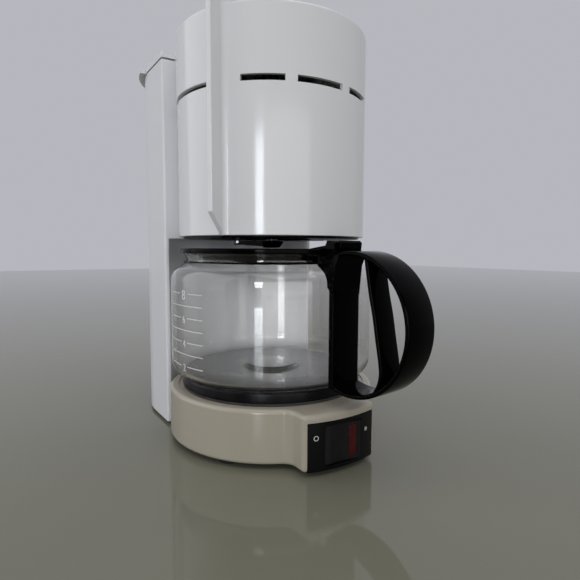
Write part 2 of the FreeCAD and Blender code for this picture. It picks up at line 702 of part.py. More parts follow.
def fin_root_fillet():
    """Concave blend between the door and the fin, on the side that faces the front."""
    size = 3.4
    z0, z1 = DRUM_Z
    start = FIN_ANGLE + math.degrees(FIN_THICK / DRUM_R)
    corner = polar(DRUM_R - 0.8, start - 0.6)
    along = polar(1.0, start + 90.0)
    outward = polar(1.0, start)
    a = corner
    b = corner.add(FreeCAD.Vector(outward).multiply(size + 0.8))
    c = corner.add(FreeCAD.Vector(along).multiply(size + 1.0))
    centre = b.add(FreeCAD.Vector(along).multiply(size + 0.7))
    wedge = prism([(a.x, a.y), (b.x, b.y), (centre.x, centre.y), (c.x, c.y)], z0, z1)
    return wedge.cut(disc(size, z0 - 1.0, z1 + 1.0, centre.x, centre.y))


def filter_door():
    z0, z1 = DRUM_Z
    shell = turned([(INNER_R, z0), (DRUM_R - 0.5, z0), (DRUM_R, z0 + 0.5), (DRUM_R, z1 - 2.0),
                    (DRUM_R - 0.6, z1 - 0.6), (DRUM_R - 2.0, z1), (INNER_R, z1)],
                   FIN_ANGLE, DOOR_END - FIN_ANGLE)
    for start, end in SLOTS:
        shell = shell.cut(shell_sector(DRUM_R + 1.0, INNER_R - 1.0, SEAM_Z[0], SEAM_Z[1] + 0.2,
                                       start, end))
    shell = shell.cut(barrel_space(0.0, DOOR_BARREL_Z[0])).cut(barrel_space(DOOR_BARREL_Z[1], 300.0))
    barrel = disc(BARREL_R, DOOR_BARREL_Z[0], DOOR_BARREL_Z[1], HINGE.x, HINGE.y)
    shape = fuse([shell, barrel, fin(), fin_root_fillet()])
    return shape.cut(disc(PIN_R + 0.05, 100.0, 300.0, HINGE.x, HINGE.y))


CARRIER_Z = (141.8, 144.6)
CARRIER_HOLE_R = 30.0
CARRIER_RIM_R = INNER_R - GAP - 0.4
CONE_BOTTOM = CARRIER_Z[1]
BASKET_TOP = 229.0
BASKET_RIM_R = 57.0


def filter_carrier():
    """Black floor of the swing-out holder; the filter basket stands on it."""
    z0, z1 = CARRIER_Z
    floor = turned([(CARRIER_HOLE_R, z0), (CARRIER_RIM_R - 0.6, z0), (CARRIER_RIM_R, z0 + 0.6),
                    (CARRIER_RIM_R, z1), (CARRIER_HOLE_R, z1)])
    floor = floor.cut(disc(BARREL_R + 1.0, 0.0, 300.0, HINGE.x, HINGE.y))
    # Nothing on the door may stand further from its hinge than the free edge of the fixed shell.
    shell_edge = polar(INNER_R - 0.4, SHELL_END)
    floor = floor.common(disc(shell_edge.sub(HINGE).Length - 0.5, 0.0, 300.0, HINGE.x, HINGE.y))
    tab = shell_sector(INNER_R, CARRIER_RIM_R - 1.5, z1 - 1.4, z1 + 1.0, FIN_ANGLE + 6.0, DOOR_END - 20.0)
    return fuse([floor, tab])


OUTLET_R = 3.2


def filter_basket():
    """Conical filter holder with inner ribs, a rim and a drain spout."""
    top = BASKET_RIM_R
    z0 = CONE_BOTTOM
    z1 = BASKET_TOP
    outer = turned([(0.0, z0), (33.0, z0), (35.6, z0 + 2.0), (top - 2.5, z1 - 2.5), (top, z1 - 2.5),
                    (top, z1), (0.0, z1)])
    inner = turned([(0.0, z0 + 2.0), (32.0, z0 + 2.0), (33.8, z0 + 3.6), (top - 4.2, z1 - 2.5),
                    (top - 4.2, z1 + 1.0), (0.0, z1 + 1.0)])
    shape = fuse([outer.cut(inner), disc(6.0, z0 - 2.0, z0 + 0.5)])
    ribs = []
    for i in range(12):
        rib = side_profile([(20.0, z0 + 1.0), (33.0, z0 + 1.0), (top - 5.6, z1 - 18.0),
                            (top - 7.2, z1 - 18.0), (30.6, z0 + 3.4), (20.0, z0 + 3.4)], 1.2)
        rib.rotate(ZERO, UP, 30.0 * i)
        ribs.append(rib)
    shape = fuse([shape] + ribs)
    shape = shape.cut(disc(BARREL_R + 0.5, 0.0, 300.0, HINGE.x, HINGE.y))
    return shape.cut(disc(OUTLET_R, 0.0, z0 + 5.0))


# ---- drip stop: a lever under the basket that the jug lid lifts ----
LEVER_ANGLE = -118.0        # direction of the lever's pivot from the nose
LEVER_RHO = 25.0
LEVER_AXIS_Z = 139.8
LEVER_PIN_R = 1.0
NOSE_BOTTOM = 135.7
NOSE_TOP = 140.6
POCKET_FLOOR = 137.2


def drip_lever():
    nose = turned([(0.0, NOSE_BOTTOM), (5.6, NOSE_BOTTOM), (8.0, NOSE_BOTTOM + 1.6),
                   (9.4, NOSE_TOP), (0.0, NOSE_TOP)])
    arm = side_profile([(0.0, NOSE_BOTTOM), (LEVER_RHO, LEVER_AXIS_Z - 1.7),
                        (LEVER_RHO, NOSE_TOP), (0.0, NOSE_TOP)], 11.0)
    eye = x_rod(1.9, 5.5, LEVER_RHO, LEVER_AXIS_Z)
    lever = fuse([nose, arm, eye])
    lever = lever.cut(tube(5.2, 3.0, POCKET_FLOOR, NOSE_TOP + 1.0))
    lever = lever.cut(x_rod(LEVER_PIN_R + 0.05, 9.0, LEVER_RHO, LEVER_AXIS_Z))
    lever.rotate(ZERO, UP, LEVER_ANGLE)
    return lever


def lever_pin():
    pin = x_rod(LEVER_PIN_R, 8.3, LEVER_RHO, LEVER_AXIS_Z)
    pin.rotate(ZERO, UP, LEVER_ANGLE)
    return pin


def lever_brackets():
    """Two small ears under the basket's floor that hold the lever's pin."""
    ears = []
    for side in (-1.0, 1.0):
        ear = box(side * 7.1 - 1.2, side * 7.1 + 1.2, -LEVER_RHO - 2.2, -LEVER_RHO + 2.2,
                  LEVER_AXIS_Z - 2.0, CONE_BOTTOM)
        ears.append(ear.cut(x_rod(LEVER_PIN_R, 9.0, LEVER_RHO, LEVER_AXIS_Z)))
    shape = Part.makeCompound(ears)
    shape.rotate(ZERO, UP, LEVER_ANGLE)
    return shape


def valve_seal():
    """Plug whose head closes the drain from above; its stem stands on the lever."""
    head_z = CONE_BOTTOM + 2.1
    return fuse([disc(2.0, NOSE_TOP, head_z + 1.0), disc(5.4, head_z, head_z + 1.8)])


SPRING_R = 4.1
SPRING_WIRE_R = 0.32
SPRING_TURNS = 4
SPRING_PITCH = 1.05
SPRING_WIRE_SIDES = 8


def drip_spring():
    """Open coil of eight-sided wire."""
    coil = Part.Wire(Part.makeHelix(SPRING_PITCH, SPRING_TURNS * SPRING_PITCH, SPRING_R).Edges)
    corners = []
    for i in range(SPRING_WIRE_SIDES):
        a = 2.0 * math.pi * (i + 0.5) / SPRING_WIRE_SIDES
        corners.append(vec(SPRING_R + SPRING_WIRE_R * math.cos(a), 0, SPRING_WIRE_R * math.sin(a)))
    section = Part.makePolygon(corners + corners[:1])
    spring = coil.makePipeShell([section], True, True)
    spring.translate(vec(0, 0, POCKET_FLOOR + 0.5))
    return spring


# ---- jug ----
GLASS_WALL_PROFILE = [(68.0, GLASS_BASE), (71.2, GLASS_BASE + 1.6), (72.4, GLASS_BASE + 4.4),
                      (GLASS_R, GLASS_BASE + 8.0), (GLASS_R, 110.5), (72.2, 114.2), (70.4, 117.8),
                      (67.4, 121.0), (64.0, 123.4), (62.2, 125.4), (61.8, 127.4), (62.6, 129.6),
                      (64.0, 131.6), (64.6, 133.4)]
PUNT_R = 18.0


def carafe_glass():
    inside = [(r - GLASS_WALL, z) for r, z in GLASS_WALL_PROFILE[3:]]
    floor = [(69.2, GLASS_BASE + 5.0), (66.0, GLASS_BASE + 2.8), (PUNT_R + 4.0, GLASS_BASE + 2.8),
             (PUNT_R, GLASS_BASE + 4.0), (0.0, GLASS_BASE + 4.0)]
    underside = [(0.0, GLASS_BASE + 1.4), (PUNT_R, GLASS_BASE + 1.4), (PUNT_R + 3.0, GLASS_BASE)]
    return turned(underside + GLASS_WALL_PROFILE + inside[::-1] + floor)


BAND_Z = (124.9, 126.5)
NECK_R = 62.2


def neck_band():
    """Thin clamp ring under the rim that ties the handle to the neck."""
    return tube(NECK_R + 1.6, NECK_R + 0.6, *BAND_Z)


def loop_arc(radius, start, end, steps=1):
    """Points on the handle's round ribbon; 0 degrees points away from the jug, 90 is up."""
    points = []
    for i in range(steps + 1):
        a = math.radians(start + (end - start) * i / steps)
        points.append(vec(0, -(LOOP_RHO + radius * math.cos(a)), LOOP_Z + radius * math.sin(a)))
    return points


def loop_ribbon():
    """Round outer grip: a ring sector with rounded long edges."""
    outer = Part.Arc(*loop_arc(LOOP_R, -LOOP_END, LOOP_END, 2)).toShape()
    inner = Part.Arc(*loop_arc(LOOP_R - LOOP_T, LOOP_END, -LOOP_END, 2)).toShape()
    ends = [Part.LineSegment(outer.Vertexes[-1].Point, inner.Vertexes[0].Point).toShape(),
            Part.LineSegment(inner.Vertexes[-1].Point, outer.Vertexes[0].Point).toShape()]
    face = Part.Face(Part.Wire([outer, ends[0], inner, ends[1]]))
    band = face.extrude(vec(HANDLE_W, 0, 0))
    band.translate(vec(-HANDLE_W / 2.0, 0, 0))
    return band


INNER_GRIP = [(97.9, 130.6), (101.7, 110.0), (104.8, 97.1), (107.3, 83.5), (109.9, 70.0),
              (110.3, 63.2), (108.9, 57.2), (105.6, 51.4)]
INNER_GRIP_T = 2.6


def inner_grip():
    """Slanted slat between the top and the bottom of the loop."""
    near = [vec(0, -r, z) for r, z in INNER_GRIP]
    far = [vec(0, -r - INNER_GRIP_T, z) for r, z in INNER_GRIP]
    curves = []
    for line in (near, far[::-1]):
        curve = Part.BSplineCurve()
        curve.interpolate(line)
        curves.append(curve.toShape())
    caps = [Part.LineSegment(near[-1], far[-1]).toShape(), Part.LineSegment(far[0], near[0]).toShape()]
    slat = Part.Face(Part.Wire([curves[0], caps[0], curves[1], caps[1]]))
    slat = slat.extrude(vec(INNER_GRIP_W, 0, 0))
    slat.translate(vec(-INNER_GRIP_W / 2.0, 0, 0))
    return slat


KNUCKLE_R = 4.0
KNUCKLE_HALF = 9.4          # half length of the lid's knuckle between the handle's two ears
JUG_PIN_R = 1.2
JUG_PIN_HALF = 11.4
EAR_ROOT_Z = 127.0
EAR_GAP = 0.3


def turned_with_jug(shape):
    shape.rotate(ZERO, UP, JUG_TURN)
    return shape


def carafe_handle():
    inner, outer = STRAP_RHO
    low, high = STRAP_Z
    strap = side_profile([(inner - 3.0, low), (outer, low), (outer, high), (inner - 3.0, high)],
                         HANDLE_W)
    bracket = side_profile([(62.6, 133.0), (62.6, 121.0), (66.0, 118.0), (outer, 106.0),
                            (outer + 1.5, 124.0), (LID_AXIS_RHO + 8.0, 131.2),
                            (LID_AXIS_RHO, 131.5), (LID_AXIS_RHO - 5.0, 129.8),
                            (66.5, 130.0)], HANDLE_W)
    shape = fuse([strap, bracket, loop_ribbon(), inner_grip()])
    ears = []
    for side in (-1.0, 1.0):
        x0, x1 = sorted((side * (KNUCKLE_HALF + EAR_GAP), side * HANDLE_W / 2.0))
        ear = rod(KNUCKLE_R, vec(x0, -LID_AXIS_RHO, LID_AXIS_Z), vec(x1, -LID_AXIS_RHO, LID_AXIS_Z))
        root = box(x0, x1, -LID_AXIS_RHO - KNUCKLE_R, -LID_AXIS_RHO + KNUCKLE_R, EAR_ROOT_Z,
                   LID_AXIS_Z)
        ears += [ear, root]
    shape = fuse([shape] + ears)
    shape = shape.cut(jug_space())
    shape = shape.cut(x_rod(KNUCKLE_R + GAP, KNUCKLE_HALF + EAR_GAP, LID_AXIS_RHO, LID_AXIS_Z))
    return turned_with_jug(shape.cut(x_rod(JUG_PIN_R, JUG_PIN_HALF, LID_AXIS_RHO, LID_AXIS_Z)))


def jug_space():
    """The glass and its neck band with a hair of clearance, so that the handle wraps them."""
    below = GLASS_BASE - 5.0
    above = GLASS_WALL_PROFILE[-1][1] + 6.0
    side = [(r + 0.25, z) for r, z in GLASS_WALL_PROFILE[3:]]
    space = turned([(0.0, below), (side[0][0], below)] + side + [(side[-1][0], above), (0.0, above)])
    band = disc(NECK_R + 1.6, *BAND_Z)
    lid_rim = disc(JUG_LID_R + 0.5, LID_RIM_Z - 0.6, above)
    return fuse([space, band, lid_rim])


def jug_lid_pin():
    return turned_with_jug(x_rod(JUG_PIN_R, JUG_PIN_HALF, LID_AXIS_RHO, LID_AXIS_Z))


JUG_LID_TOP = 135.0
JUG_LID_R = 65.9            # rim that covers the glass's lip
LID_RIM_Z = 131.6
LIP_COVER_Z = 133.9
DISH_R = 47.0
LEVER_TIP = 81.2
LEVER_Z = (134.3, 140.0)


def carafe_lid():
    top = JUG_LID_TOP
    dished = turned([(0.0, 128.6), (5.0, 128.6), (DISH_R - 3.0, 130.0), (DISH_R, top - 1.2),
                     (JUG_LID_R - 1.0, top), (JUG_LID_R, top - 1.0), (JUG_LID_R, LID_RIM_Z),
                     (JUG_LID_R - 0.8, LID_RIM_Z), (JUG_LID_R - 0.8, LIP_COVER_Z), (61.8, LIP_COVER_Z),
                     (61.4, 131.4), (59.4, 130.4), (50.6, 130.4), (50.6, 123.4), (48.6, 123.4), (48.6, 128.6),
                     (44.0, 127.0), (5.0, 126.6), (0.0, 126.6)])
    drain = tube(9.0, 6.5, 124.6, 127.4)
    arm = side_profile([(50.0, top - 1.0), (60.0, top - 2.0), (64.0, 134.4), (LID_AXIS_RHO, 134.4),
                        (LID_AXIS_RHO, LEVER_Z[1]), (70.0, LEVER_Z[1]), (68.8, 137.2), (62.0, 136.4),
                        (52.0, top)],
                       2.0 * KNUCKLE_HALF)
    knuckle = x_rod(KNUCKLE_R, KNUCKLE_HALF, LID_AXIS_RHO, LID_AXIS_Z)
    lever = side_profile([(LID_AXIS_RHO, LEVER_Z[0]), (LEVER_TIP - 1.0, LEVER_Z[0]),
                          (LEVER_TIP, LEVER_Z[0] + 1.0), (LEVER_TIP, LEVER_Z[1] - 1.0),
                          (LEVER_TIP - 1.0, LEVER_Z[1]), (LID_AXIS_RHO, LEVER_Z[1])],
                         2.0 * KNUCKLE_HALF)
    shape = fuse([dished, drain, arm, knuckle, lever])
    shape = shape.cut(x_rod(JUG_PIN_R + 0.05, JUG_PIN_HALF, LID_AXIS_RHO, LID_AXIS_Z))
    for i in range(4):
        hole = polar(20.0, 45.0 + 90.0 * i)
        shape = shape.cut(disc(1.6, 120.0, 132.0, hole.x, hole.y))
    return turned_with_jug(shape.cut(disc(4.0, 120.0, 132.0)))


# ---- leads from the terminal block to the switch and the thermostat ----
LEAD_R = 1.1


def internal_leads():
    routes = [
        [vec(28.0, 103.8, 11.0), vec(26.0, 92.0, 11.0), vec(6.0, 84.0, 16.0), vec(6.0, 60.0, 16.0),
         vec(12.0, 40.0, 11.0), vec(12.0, -38.0, 11.0), vec(8.0, -48.6, 16.0)],
        [vec(35.0, 103.8, 11.0), vec(33.0, 90.0, 11.0), vec(-2.0, 82.0, 16.0), vec(-2.0, 60.0, 16.0),
         vec(4.5, 30.0, 9.0), vec(4.5, -33.0, 9.6)],
    ]
    return Part.makeCompound([swept(route, 3.0, LEAD_R) for route in routes])


PARTS = [
    base_housing, base_cover, rubber_feet, cover_screws, console_panel, rocker_switch, rocker_lens,
    rocker_axle, switch_body, indicator_lamp, hot_plate, plate_seal, flow_heater, heating_element,
    heater_strap, strap_nut, thermostat, thermal_fuses, tank_strainer, check_valve, valve_ball,
    inlet_hose, riser_tube, riser_grommet, tank_column, column_cover, cord_inlet_bush,
    terminal_block, lid_pins, tank_lid, drum_rear_shell, brew_cap, door_hinge_pin, shower_head,
    filter_door, filter_carrier, filter_basket, lever_brackets, drip_lever, lever_pin, valve_seal,
    drip_spring, carafe_glass, neck_band, carafe_handle, jug_lid_pin, carafe_lid, internal_leads,
]

os.makedirs("parts", exist_ok=True)
for make in PARTS:
    export(make.__name__, make())
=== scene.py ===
import math

import bmesh
import bpy
from mathutils import Matrix, Vector


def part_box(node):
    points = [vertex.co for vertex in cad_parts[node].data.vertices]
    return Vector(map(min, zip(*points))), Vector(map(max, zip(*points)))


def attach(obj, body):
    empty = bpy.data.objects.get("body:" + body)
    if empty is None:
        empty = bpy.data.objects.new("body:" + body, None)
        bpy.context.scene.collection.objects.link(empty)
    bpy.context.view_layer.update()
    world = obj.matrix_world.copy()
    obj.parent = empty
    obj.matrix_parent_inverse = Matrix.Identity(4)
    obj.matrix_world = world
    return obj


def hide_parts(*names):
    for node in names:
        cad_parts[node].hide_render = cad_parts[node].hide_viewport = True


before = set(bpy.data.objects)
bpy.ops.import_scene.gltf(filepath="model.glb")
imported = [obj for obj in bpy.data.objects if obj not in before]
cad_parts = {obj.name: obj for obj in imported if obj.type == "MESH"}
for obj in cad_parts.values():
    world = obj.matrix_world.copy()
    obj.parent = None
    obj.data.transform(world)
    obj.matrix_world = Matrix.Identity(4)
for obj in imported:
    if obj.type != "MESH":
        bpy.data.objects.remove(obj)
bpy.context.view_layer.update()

# Drip coffee maker: the looks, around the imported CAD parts. Outlines are in millimetres about the
# vertical axis that the filter drum, the jug and the base share. place() turns them into the
# frame's metres. Angles about that axis are in degrees from the front (-Y), positive towards +X.
MM = 0.001
TINY = 1e-6
WELD = 2e-6
scene = bpy.context.scene

CAP_PROUD = 0.2
LID_THICK = 4.0

# ---- sizes read from the frame ----
GLASS_LO, GLASS_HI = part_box("carafe_glass")
AXIS = (GLASS_LO + GLASS_HI) / 2
PLATE_LO, PLATE_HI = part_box("hot_plate")
CAP_LO, CAP_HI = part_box("brew_cap")
SHELL_LO, SHELL_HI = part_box("drum_rear_shell")
DOOR_LO, DOOR_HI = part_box("filter_door")
COLUMN_LO, COLUMN_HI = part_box("tank_column")
LID_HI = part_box("tank_lid")[1]
BASE_LO, BASE_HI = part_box("base_housing")
PANEL_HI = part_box("console_panel")[1]
PIN_LO, PIN_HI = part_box("door_hinge_pin")
JUG_PIN_LO, JUG_PIN_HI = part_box("jug_lid_pin")
JUG_LID_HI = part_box("carafe_lid")[1]
BAND_LO, BAND_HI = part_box("neck_band")
CARRIER_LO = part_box("filter_carrier")[0]
NOSE_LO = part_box("drip_lever")[0]


def mm_y(y):
    """A place along Y in the frame, as millimetres from the drum axis."""
    return (y - AXIS.y) / MM


GLASS_R = (GLASS_HI.x - GLASS_LO.x) / 2 / MM
GLASS_BASE = GLASS_LO.z / MM
GLASS_TOP = GLASS_HI.z / MM
PLATE_R = (PLATE_HI.x - PLATE_LO.x) / 2 / MM
PLATE_TOP = PLATE_HI.z / MM
CAP_R = -CAP_LO.x / MM
CAP_TOP = CAP_HI.z / MM
CAP_BOTTOM = CAP_LO.z / MM
SHELL_R = -SHELL_LO.x / MM
SHELL_BOTTOM = SHELL_LO.z / MM
SHELL_TOP = SHELL_HI.z / MM
DRUM_R = CAP_R - CAP_PROUD
DRUM_BOTTOM = DOOR_LO.z / MM
FIN_TOP = DOOR_HI.z / MM
COLUMN_HALF = COLUMN_HI.x / MM
COLUMN_FRONT = mm_y(COLUMN_LO.y)
COLUMN_BOTTOM = COLUMN_LO.z / MM
COLUMN_SIDE_END = mm_y(COLUMN_HI.y) - COLUMN_HALF
LID_TOP = LID_HI.z / MM
LID_BOTTOM = LID_TOP - LID_THICK
BASE_R = BASE_HI.x / MM
BASE_BOTTOM = BASE_LO.z / MM
BASE_TOP = BASE_HI.z / MM
CONSOLE_R = -mm_y(BASE_LO.y)
PANEL_HALF = PANEL_HI.x / MM
PANEL_TOP = PANEL_HI.z / MM
HINGE_X = (PIN_LO.x + PIN_HI.x) / 2 / MM
HINGE_Y = mm_y((PIN_LO.y + PIN_HI.y) / 2)
JUG_HINGE_X = (JUG_PIN_LO.x + JUG_PIN_HI.x) / 2 / MM
JUG_HINGE_Y = mm_y((JUG_PIN_LO.y + JUG_PIN_HI.y) / 2)
JUG_HINGE_RHO = math.hypot(JUG_HINGE_X, JUG_HINGE_Y)
JUG_HINGE_Z = (JUG_PIN_LO.z + JUG_PIN_HI.z) / 2 / MM
JUG_TURN = math.degrees(math.atan2(JUG_HINGE_X, -JUG_HINGE_Y))
BAND_R = (BAND_HI.x - BAND_LO.x) / 2 / MM
CARRIER_BOTTOM = CARRIER_LO.z / MM
NOSE_BOTTOM = NOSE_LO.z / MM

# ---- design sizes that the boxes don't tell, as in the CAD parts ----
# drum and filter door
WALL = 2.5
INNER_R = DRUM_R - WALL - 0.4
WALL_EDGE = 0.5
TOP_ROUND = 1.6
CAP_THICK = 3.0
DOOR_END = 100.0
FIN_ANGLE = -58.7
FIN_THICK = 3.5
FIN_BLEND = 3.6
FIN_REACH = DRUM_R + 13.4
SHELL_START = DOOR_END + 6.2
SHELL_END = 360.0 + FIN_ANGLE - 0.6
SLOT_BAND = (233.2, 237.1)
SLOTS = [(-46.6, -23.5), (-17.1, 11.1), (16.9, 40.4)]

# hinge of the door: a barrel between two lugs
HINGE = (HINGE_X, HINGE_Y)
HINGE_RHO = math.hypot(HINGE_X, HINGE_Y)
HINGE_GAP = 0.4
BARREL_R = 5.6
BARREL_BORE = 2.05
BARREL_STEP = 10.0
LUG_R = BARREL_R - 0.4
LUG_BORE = 2.0
LUG_LOW = (PIN_LO.z / MM, PIN_LO.z / MM + 4.0)
LUG_HIGH = (CAP_TOP - 10.0, CAP_TOP)

# filter carrier and drip stop
CARRIER_HOLE_R = 30.0
CARRIER_R = DRUM_R - WALL - 0.8
CARRIER_THICK = 2.8
NOSE_BORE = 3.0
NOSE_R = 9.4
NOSE_TOP = NOSE_BOTTOM + 4.9
LEVER_TURN = -118.0
LEVER_HALF = 5.5
LEVER_END = 25.0

# water column and its lid
COLUMN_TOP = 271.6
COLUMN_CORNER = 1.6
RECESS_R = 77.0
DRUM_SEAT_R = DRUM_R + 0.6
DRUM_SEAT_Z = 142.2
TANK_FLOOR = 57.0
LID_LIP = 4.5
HORN_INNER_X = 55.6
HORN_END_Y = 54.0
ABOVE_ALL = 300.0

# base, console and rocker
BASE_ROUND = 2.6
CONSOLE_HALF = 27.6
CONSOLE_BLEND = 9.0
CONSOLE_CORNER = 3.0
CONSOLE_SPAN = (-25.0, 25.0)
ROCKER_HALF = 13.6
ROCKER_Z = (5.8, 29.5)
ROCKER_AXIS = 80.5
ROCKER_GAP = 0.4
ROCKER_FACE_R = CONSOLE_R - 0.2
ROCKER_DISH_R = 60.0
ROCKER_DISH_DEPTH = 1.2
ROCKER_REST = -4.0
LENS_X = (4.6, 10.2)
LENS_Z = (8.0, 27.6)
LENS_GAP = 0.1
PLATE_WELL_R = 68.5
PLATE_SKIRT_Z = 38.2
FOOT_R = 8.0
FOOT_SPOTS = [(-52.0, -36.0, 3.4), (52.0, -36.0, 3.4), (-46.0, 100.0, 2.5), (46.0, 100.0, 2.5)]

# jug, its handle and its lid
GLASS_WALL = 2.0
PUNT_R = 17.0
SHOULDER_Z = 118.4
NECK_R = 61.3
NECK_Z = 126.3
JUG_ROOM = 0.25
HANDLE_W = 24.0
STRAP_RHO = (73.1, 77.3)
STRAP_Z = (49.4, 122.0)
LOOP_R = 43.9
LOOP_T = 2.9
LOOP_RHO = 89.3
LOOP_Z = 89.9
LOOP_END = 111.0
INNER_GRIP = [(97.9, 130.6), (101.7, 110.0), (104.8, 97.1), (107.3, 83.5), (109.9, 70.0),
              (110.3, 63.2), (108.9, 57.2), (105.6, 51.4)]
INNER_GRIP_W = 17.0
INNER_GRIP_T = 2.6
KNUCKLE_R = 4.0
KNUCKLE_HALF = 9.4
EAR_GAP = 0.3
TAB_FRONT = 81.2
TAB_Z = (134.3, JUG_LID_HI.z / MM)
JUG_LID_R = 65.9
JUG_LID_RIM_Z = 131.6
JUG_LID_TOP = 135.0
LIP_COVER_Z = 133.9


def place(x, y, z):
    return Vector((x * MM + AXIS.x, y * MM + AXIS.y, z * MM))


def polar(rho, angle, z=0.0):
    a = math.radians(angle)
    return (rho * math.sin(a), -rho * math.cos(a), z)


# ---- camera ----
CAMERA_AZIMUTH = -30.5
CAMERA_REACH = 352.98
CAMERA_HEIGHT = 134.25
CAMERA_YAW = 0.0394
CAMERA_PITCH = 0.0848
CAMERA_ROLL = 0.0042
CAMERA_LENS = 29.36


def make_camera():
    yaw, pitch, roll = CAMERA_YAW, CAMERA_PITCH, CAMERA_ROLL
    ahead = Vector((math.sin(yaw) * math.cos(pitch), math.cos(yaw) * math.cos(pitch), -math.sin(pitch)))
    right = Vector((math.cos(yaw), -math.sin(yaw), 0.0))
    up = right.cross(ahead)
    tilted_right = right * math.cos(roll) + up * math.sin(roll)
    tilted_up = up * math.cos(roll) - right * math.sin(roll)
    turn = Matrix.Rotation(math.radians(CAMERA_AZIMUTH), 3, "Z")
    basis = turn @ Matrix((tilted_right, tilted_up, -ahead)).transposed()
    data = bpy.data.cameras.new("camera")
    data.lens = CAMERA_LENS
    data.sensor_width = 36.0
    data.clip_start = 0.01
    data.clip_end = 20.0
    camera = bpy.data.objects.new("camera", data)
    camera.matrix_world = Matrix.Translation(
        place(*polar(CAMERA_REACH, CAMERA_AZIMUTH, CAMERA_HEIGHT))) @ basis.to_4x4()
    scene.collection.objects.link(camera)
    scene.camera = camera


# ---- mesh helpers ----
def new_piece(name, verts, faces):
    mesh = bpy.data.meshes.new(name)
    mesh.from_pydata([place(*v) for v in verts], [], faces)
    work = bmesh.new()
    work.from_mesh(mesh)
    bmesh.ops.remove_doubles(work, verts=work.verts, dist=WELD)
    bmesh.ops.recalc_face_normals(work, faces=work.faces)
    work.to_mesh(mesh)
    work.free()
    piece = bpy.data.objects.new(name, mesh)
    scene.collection.objects.link(piece)
    return piece


def rounded(corners, steps=5):
    """Closed outline from (a, b, radius) corners, each turned into an arc of its radius."""
    points = []
    for i, (a, b, radius) in enumerate(corners):
        corner = Vector((a, b))
        if radius <= 0:
            points.append((a, b))
            continue
        before = (Vector(corners[i - 1][:2]) - corner).normalized()
        after = (Vector(corners[(i + 1) % len(corners)][:2]) - corner).normalized()
        half = before.angle(after) / 2
        centre = corner + (before + after).normalized() * (radius / math.sin(half))
        first = corner + before * (radius / math.tan(half)) - centre
        last = corner + after * (radius / math.tan(half)) - centre
        sweep = first.angle(last)
        for k in range(steps + 1):
            t = k / steps
            spoke = (first * math.sin((1 - t) * sweep) + last * math.sin(t * sweep)) / math.sin(sweep)
            points.append(tuple(centre + spoke))
    return points


def block(a0, a1, b0, b1):
    """Corners of a rectangle."""
    return [(a0, b0), (a1, b0), (a1, b1), (a0, b1)]


def round_block(a0, a1, b0, b1, radius, steps=5):
    """Rectangle with all four corners rounded alike."""
    return rounded([(a, b, radius) for a, b in block(a0, a1, b0, b1)], steps)


def lathe(name, profile, start=0.0, end=360.0, step=2.0, about=(0.0, 0.0)):
    """Closed (rho, z) outline turned about a vertical line; a part turn gets flat ends."""
    whole = abs(end - start - 360.0) < TINY
    count = max(3, round((end - start) / step))
    spokes = count if whole else count + 1
    verts = []
    for i in range(spokes):
        angle = start + (end - start) * i / count
        for rho, z in profile:
            x, y, _ = polar(rho, angle)
            verts.append((x + about[0], y + about[1], z))
    n = len(profile)
    faces = []
    for i in range(count):
        here, there = i * n, (i + 1) % spokes * n
        for k in range(n):
            m = (k + 1) % n
            faces.append((here + k, here + m, there + m, there + k))
    if not whole:
        faces.append(tuple(range(n))[::-1])
        faces.append(tuple((spokes - 1) * n + k for k in range(n)))
    return new_piece(name, verts, faces)


def shell(name, outside, inside, start, end, windows=(), band=None, step=1.5):
    """Curved wall between two (rho, z) lines of equal length, with windows through one band of z."""
    cuts = sorted({start, end, *(a for w in windows for a in w)})
    angles = []
    for a, b in zip(cuts, cuts[1:]):
        count = max(1, math.ceil((b - a) / step))
        angles += [a + (b - a) * i / count for i in range(count)]
    angles.append(end)
    loop = list(outside) + list(inside)[::-1]
    n = len(loop)
    half = len(outside)
    verts = [polar(rho, angle, z) for angle in angles for rho, z in loop]

    def open_cell(angle, k):
        if band is None:
            return False
        low, high = sorted((loop[k][1], loop[(k + 1) % n][1]))
        in_band = low >= band[0] - TINY and high <= band[1] + TINY and high - low > TINY
        return in_band and any(w[0] < angle < w[1] for w in windows)

    faces = []
    for i, (a, b) in enumerate(zip(angles, angles[1:])):
        here, there = i * n, (i + 1) * n
        mid = (a + b) / 2
        opened = [k for k in range(n) if open_cell(mid, k)]
        for k in range(n):
            if k not in opened:
                m = (k + 1) % n
                faces.append((here + k, here + m, there + m, there + k))
        for k in opened:
            if k >= half:
                continue
            low_out, high_out = k, k + 1
            low_in, high_in = n - 1 - k, n - 2 - k
            faces.append((here + low_out, here + low_in, there + low_in, there + low_out))
            faces.append((here + high_out, here + high_in, there + high_in, there + high_out))
            for edge, at in ((a, here), (b, there)):
                if any(abs(edge - x) < TINY for w in windows for x in w):
                    faces.append((at + low_out, at + high_out, at + high_in, at + low_in))
    faces.append(tuple(range(n))[::-1])
    faces.append(tuple((len(angles) - 1) * n + k for k in range(n)))
    return new_piece(name, verts, faces)


def post(name, radius, low, high, step=2.0, about=(0.0, 0.0)):
    """Solid round post, mostly a tool to cut with."""
    return lathe(name, block(0.0, radius, low, high), step=step, about=about)


def plan(a, b, c):
    """Outline in (x, y) seen from above, run upwards."""
    return (a, b, c)


def side(a, b, c):
    """Outline in (rho, z) seen from the side, run along X."""
    return (c, -a, b)


def front(a, b, c):
    """Outline in (x, z) seen from the front, run forwards."""
    return (a, -c, b)


def extruded(name, outline, low, high, put=plan):
    n = len(outline)
    verts = [put(a, b, c) for c in (low, high) for a, b in outline]
    faces = [tuple(range(n))[::-1], tuple(range(n, 2 * n))]
    faces += [(i, (i + 1) % n, n + (i + 1) % n, n + i) for i in range(n)]
    return new_piece(name, verts, faces)


